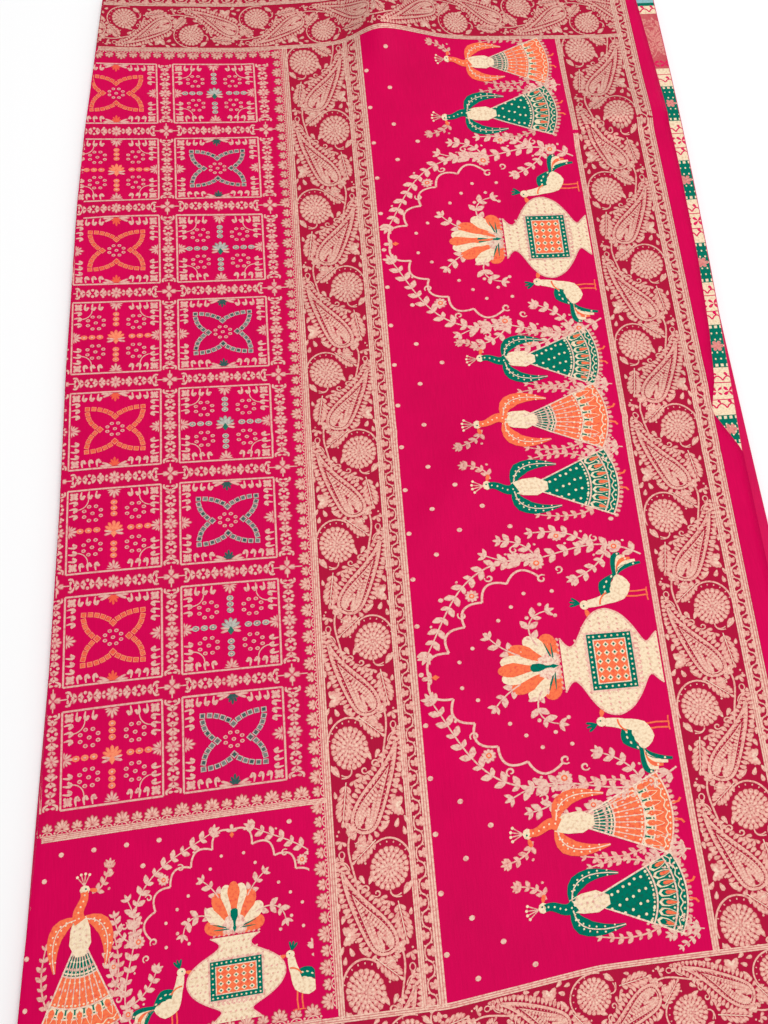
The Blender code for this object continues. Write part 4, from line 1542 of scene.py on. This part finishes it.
for column in range(15, 24):  # in the pallu's panel
    for row in range(24):
        across = 0.354 - row * 0.454 - (column % 2) * 0.227
        if -9.72 < across < FAR_LINE - 0.06:
            dot_if_clear(-0.23 + column * 0.22, across, 0.046, 0.042)
for row in range(8):  # and in the field below the checks
    for column in range(9):
        along = -0.16 + column * 0.26 + row % 2 * 0.13
        if along < 1.98:
            dot_if_clear(along, UNDER_CHECKS - 0.13 - row * 0.18, 0.042, 0.038)
PANEL_CLIP = ((0, NEAR_LINE + 0.03), (0, -1)), ((5.08, 0), (1, 0))
for colour, material, slot in (
    ("zari", ZARI, "zari"), ("pale", CREAM, "zari"), ("ivory", IVORY, "ivory_weft"),
    ("orange", ORANGE, "orange_weft"), ("green", GREEN, "green_weft"),
):
    lay(panel[colour], "figured_motifs_" + colour, material, clip=PANEL_CLIP)

# ---------------------------------------------------------------------------
# The strip that shows beside the pallu's end: the second layer's reverse at its fold, where green
# blocks of another brocade lie on an ivory ground, between lines of scrolls and cross flowers.
# ---------------------------------------------------------------------------
STRIP_WIDTH = 0.42  # how far in from the fold its motifs are followed
BLOCKS = (-0.54, -1.11), (-1.64, -2.15), (-2.70, -3.19), (-3.70, -4.20), (-4.74, -5.06)  # the green ones
IVORY_NEAR, IVORY_FAR = BLOCKS[-1][1] - 0.25, -0.24  # the ends of the ivory that they lie on
SECOND_LAYER = LAYER_STEPS[0] + FOLD_STEPS
SECOND_FOLD = SECOND_LAYER + LAYER_STEPS[1]


def on_second_reverse(flat):
    """The cloth's points by distance in from the second layer's right fold, on its upper side."""
    row = row_at(flat[:, 1])
    fold = sections[np.clip(row.round().astype(int), 0, rows_deep - 1)]
    layer_width = np.abs(fold[:, SECOND_FOLD, 0] - fold[:, SECOND_LAYER, 0]) / CHECK
    column = SECOND_FOLD - flat[:, 0] / layer_width * LAYER_STEPS[1]
    off = np.interp(flat[:, 2], np.arange(len(FLOAT_LIFTS)), FLOAT_LIFTS)
    return on_cloth(row, column, -1, off)


STRIP_CELL = 0.06  # along, of a block's ribbons, which overlap by a hair


def across_strip(floats, low, high, lift=0.9):
    """A block of weft over the strip's whole width, from one place across the sari to the other."""
    steps = max(2, round((high - low) / 0.08))
    for start in np.arange(-0.02, STRIP_WIDTH, STRIP_CELL):
        middle = start + STRIP_CELL / 2
        ribbon(floats, np.linspace((middle, low), (middle, high), steps + 1), STRIP_CELL + 0.0005, lift)


def strip_scroll(floats, across):
    """A line of waves with a leaf on each."""
    for x in np.arange(0.02, STRIP_WIDTH, 0.10):
        stem = curve((x - 0.05, across - 0.035), (x, across + 0.065), (x + 0.05, across - 0.035), steps=5)
        ribbon(floats, stem, 0.015, 1.5)
        stamp(floats, PETAL, x, across + 0.01, 60, 0.060, 0.030, 1.6)


def strip_crosses(floats, across):
    """A line of cross flowers."""
    for x in np.arange(0.03, STRIP_WIDTH, 0.115):
        stamp_round(floats, PETAL, DIAGONALS, x, across, 0.072, 0.034, 1.5)


strip = {colour: bmesh.new() for colour in ("ivory", "green", "teal", "silk", "zari")}
across_strip(strip["teal"], 0.80, 1.10)
across_strip(strip["green"], 0.755, 0.80)
across_strip(strip["ivory"], 0.64, 0.755)
strip_scroll(strip["silk"], 0.70)
for index in range(4):
    stamp(strip["zari"], BAND_REPEAT, -0.25 + index * 0.45, -0.07, 0, 0.50, 1.05)
across_strip(strip["zari"], IVORY_FAR, 0.64, 0.30)
strip_crosses(strip["silk"], -0.155)
across_strip(strip["ivory"], IVORY_NEAR, IVORY_FAR)
across_strip(strip["silk"], -0.345, -0.335, 1.5)
strip_scroll(strip["silk"], -0.435)
strip_scroll(strip["silk"], BLOCKS[-1][1] - 0.12)
for far, near in BLOCKS:
    across_strip(strip["green"], near, far, 1.5)
    for x in np.arange(0.0, STRIP_WIDTH, 0.052):
        for edge in (far - 0.026, near + 0.026):
            stamp(strip["ivory"], SQUARE, x, edge, 0, 0.040, 0.046, 1.9)
        for row, across in enumerate(np.linspace(near + 0.10, far - 0.10, 5)):
            stamp(strip["ivory"], OVAL, x + row % 2 * 0.026, across, 0, 0.018, 0.024, 1.9)
    for x in (0.07, 0.21, 0.35):
        stamp_round(strip["zari"], PETAL, range(0, 360, 60), x, (far + near) / 2, 0.066, 0.036, 2.2)
for (_, near), (far, _) in zip(BLOCKS[:-1], BLOCKS[1:]):
    middle = (near + far) / 2
    strip_crosses(strip["silk"], middle)
    for side in (-1, 1):
        across_strip(strip["silk"], middle + side * 0.095 - 0.005, middle + side * 0.095 + 0.005, 1.5)
        strip_scroll(strip["silk"], middle + side * 0.155)
PINK_YARN = yarn_material(
    "pink silk yarn", (0.72, 0.01, 0.10, 1), (0.5, 0.0, 0.06, 1), (0.6, 0.2, 0.2, 1), 0.0, 0.6
)
DULL_ZARI = yarn_material(
    "zari's reverse", (0.72, 0.28, 0.24, 1), (0.50, 0.04, 0.07, 1), (0.60, 0.02, 0.08, 1), 0.1, 0.6
)
TEAL = yarn_material(
    "pale teal silk yarn", (0.26, 0.50, 0.52, 1), (0.1, 0.3, 0.3, 1), (0.3, 0.2, 0.25, 1), 0.0, 0.6
)
STRIP_CLIP = ((-0.02, 0), (-1, 0)), ((STRIP_WIDTH, 0), (1, 0))
for colour, material, slot in (
    ("ivory", IVORY, "ivory_weft"), ("green", GREEN, "green_weft"), ("teal", TEAL, "green_weft"),
    ("silk", PINK_YARN, "silk"), ("zari", DULL_ZARI, "zari")
):
    lay(strip[colour], "reverse_strip_" + colour, material, STRIP_CLIP, on_second_reverse)
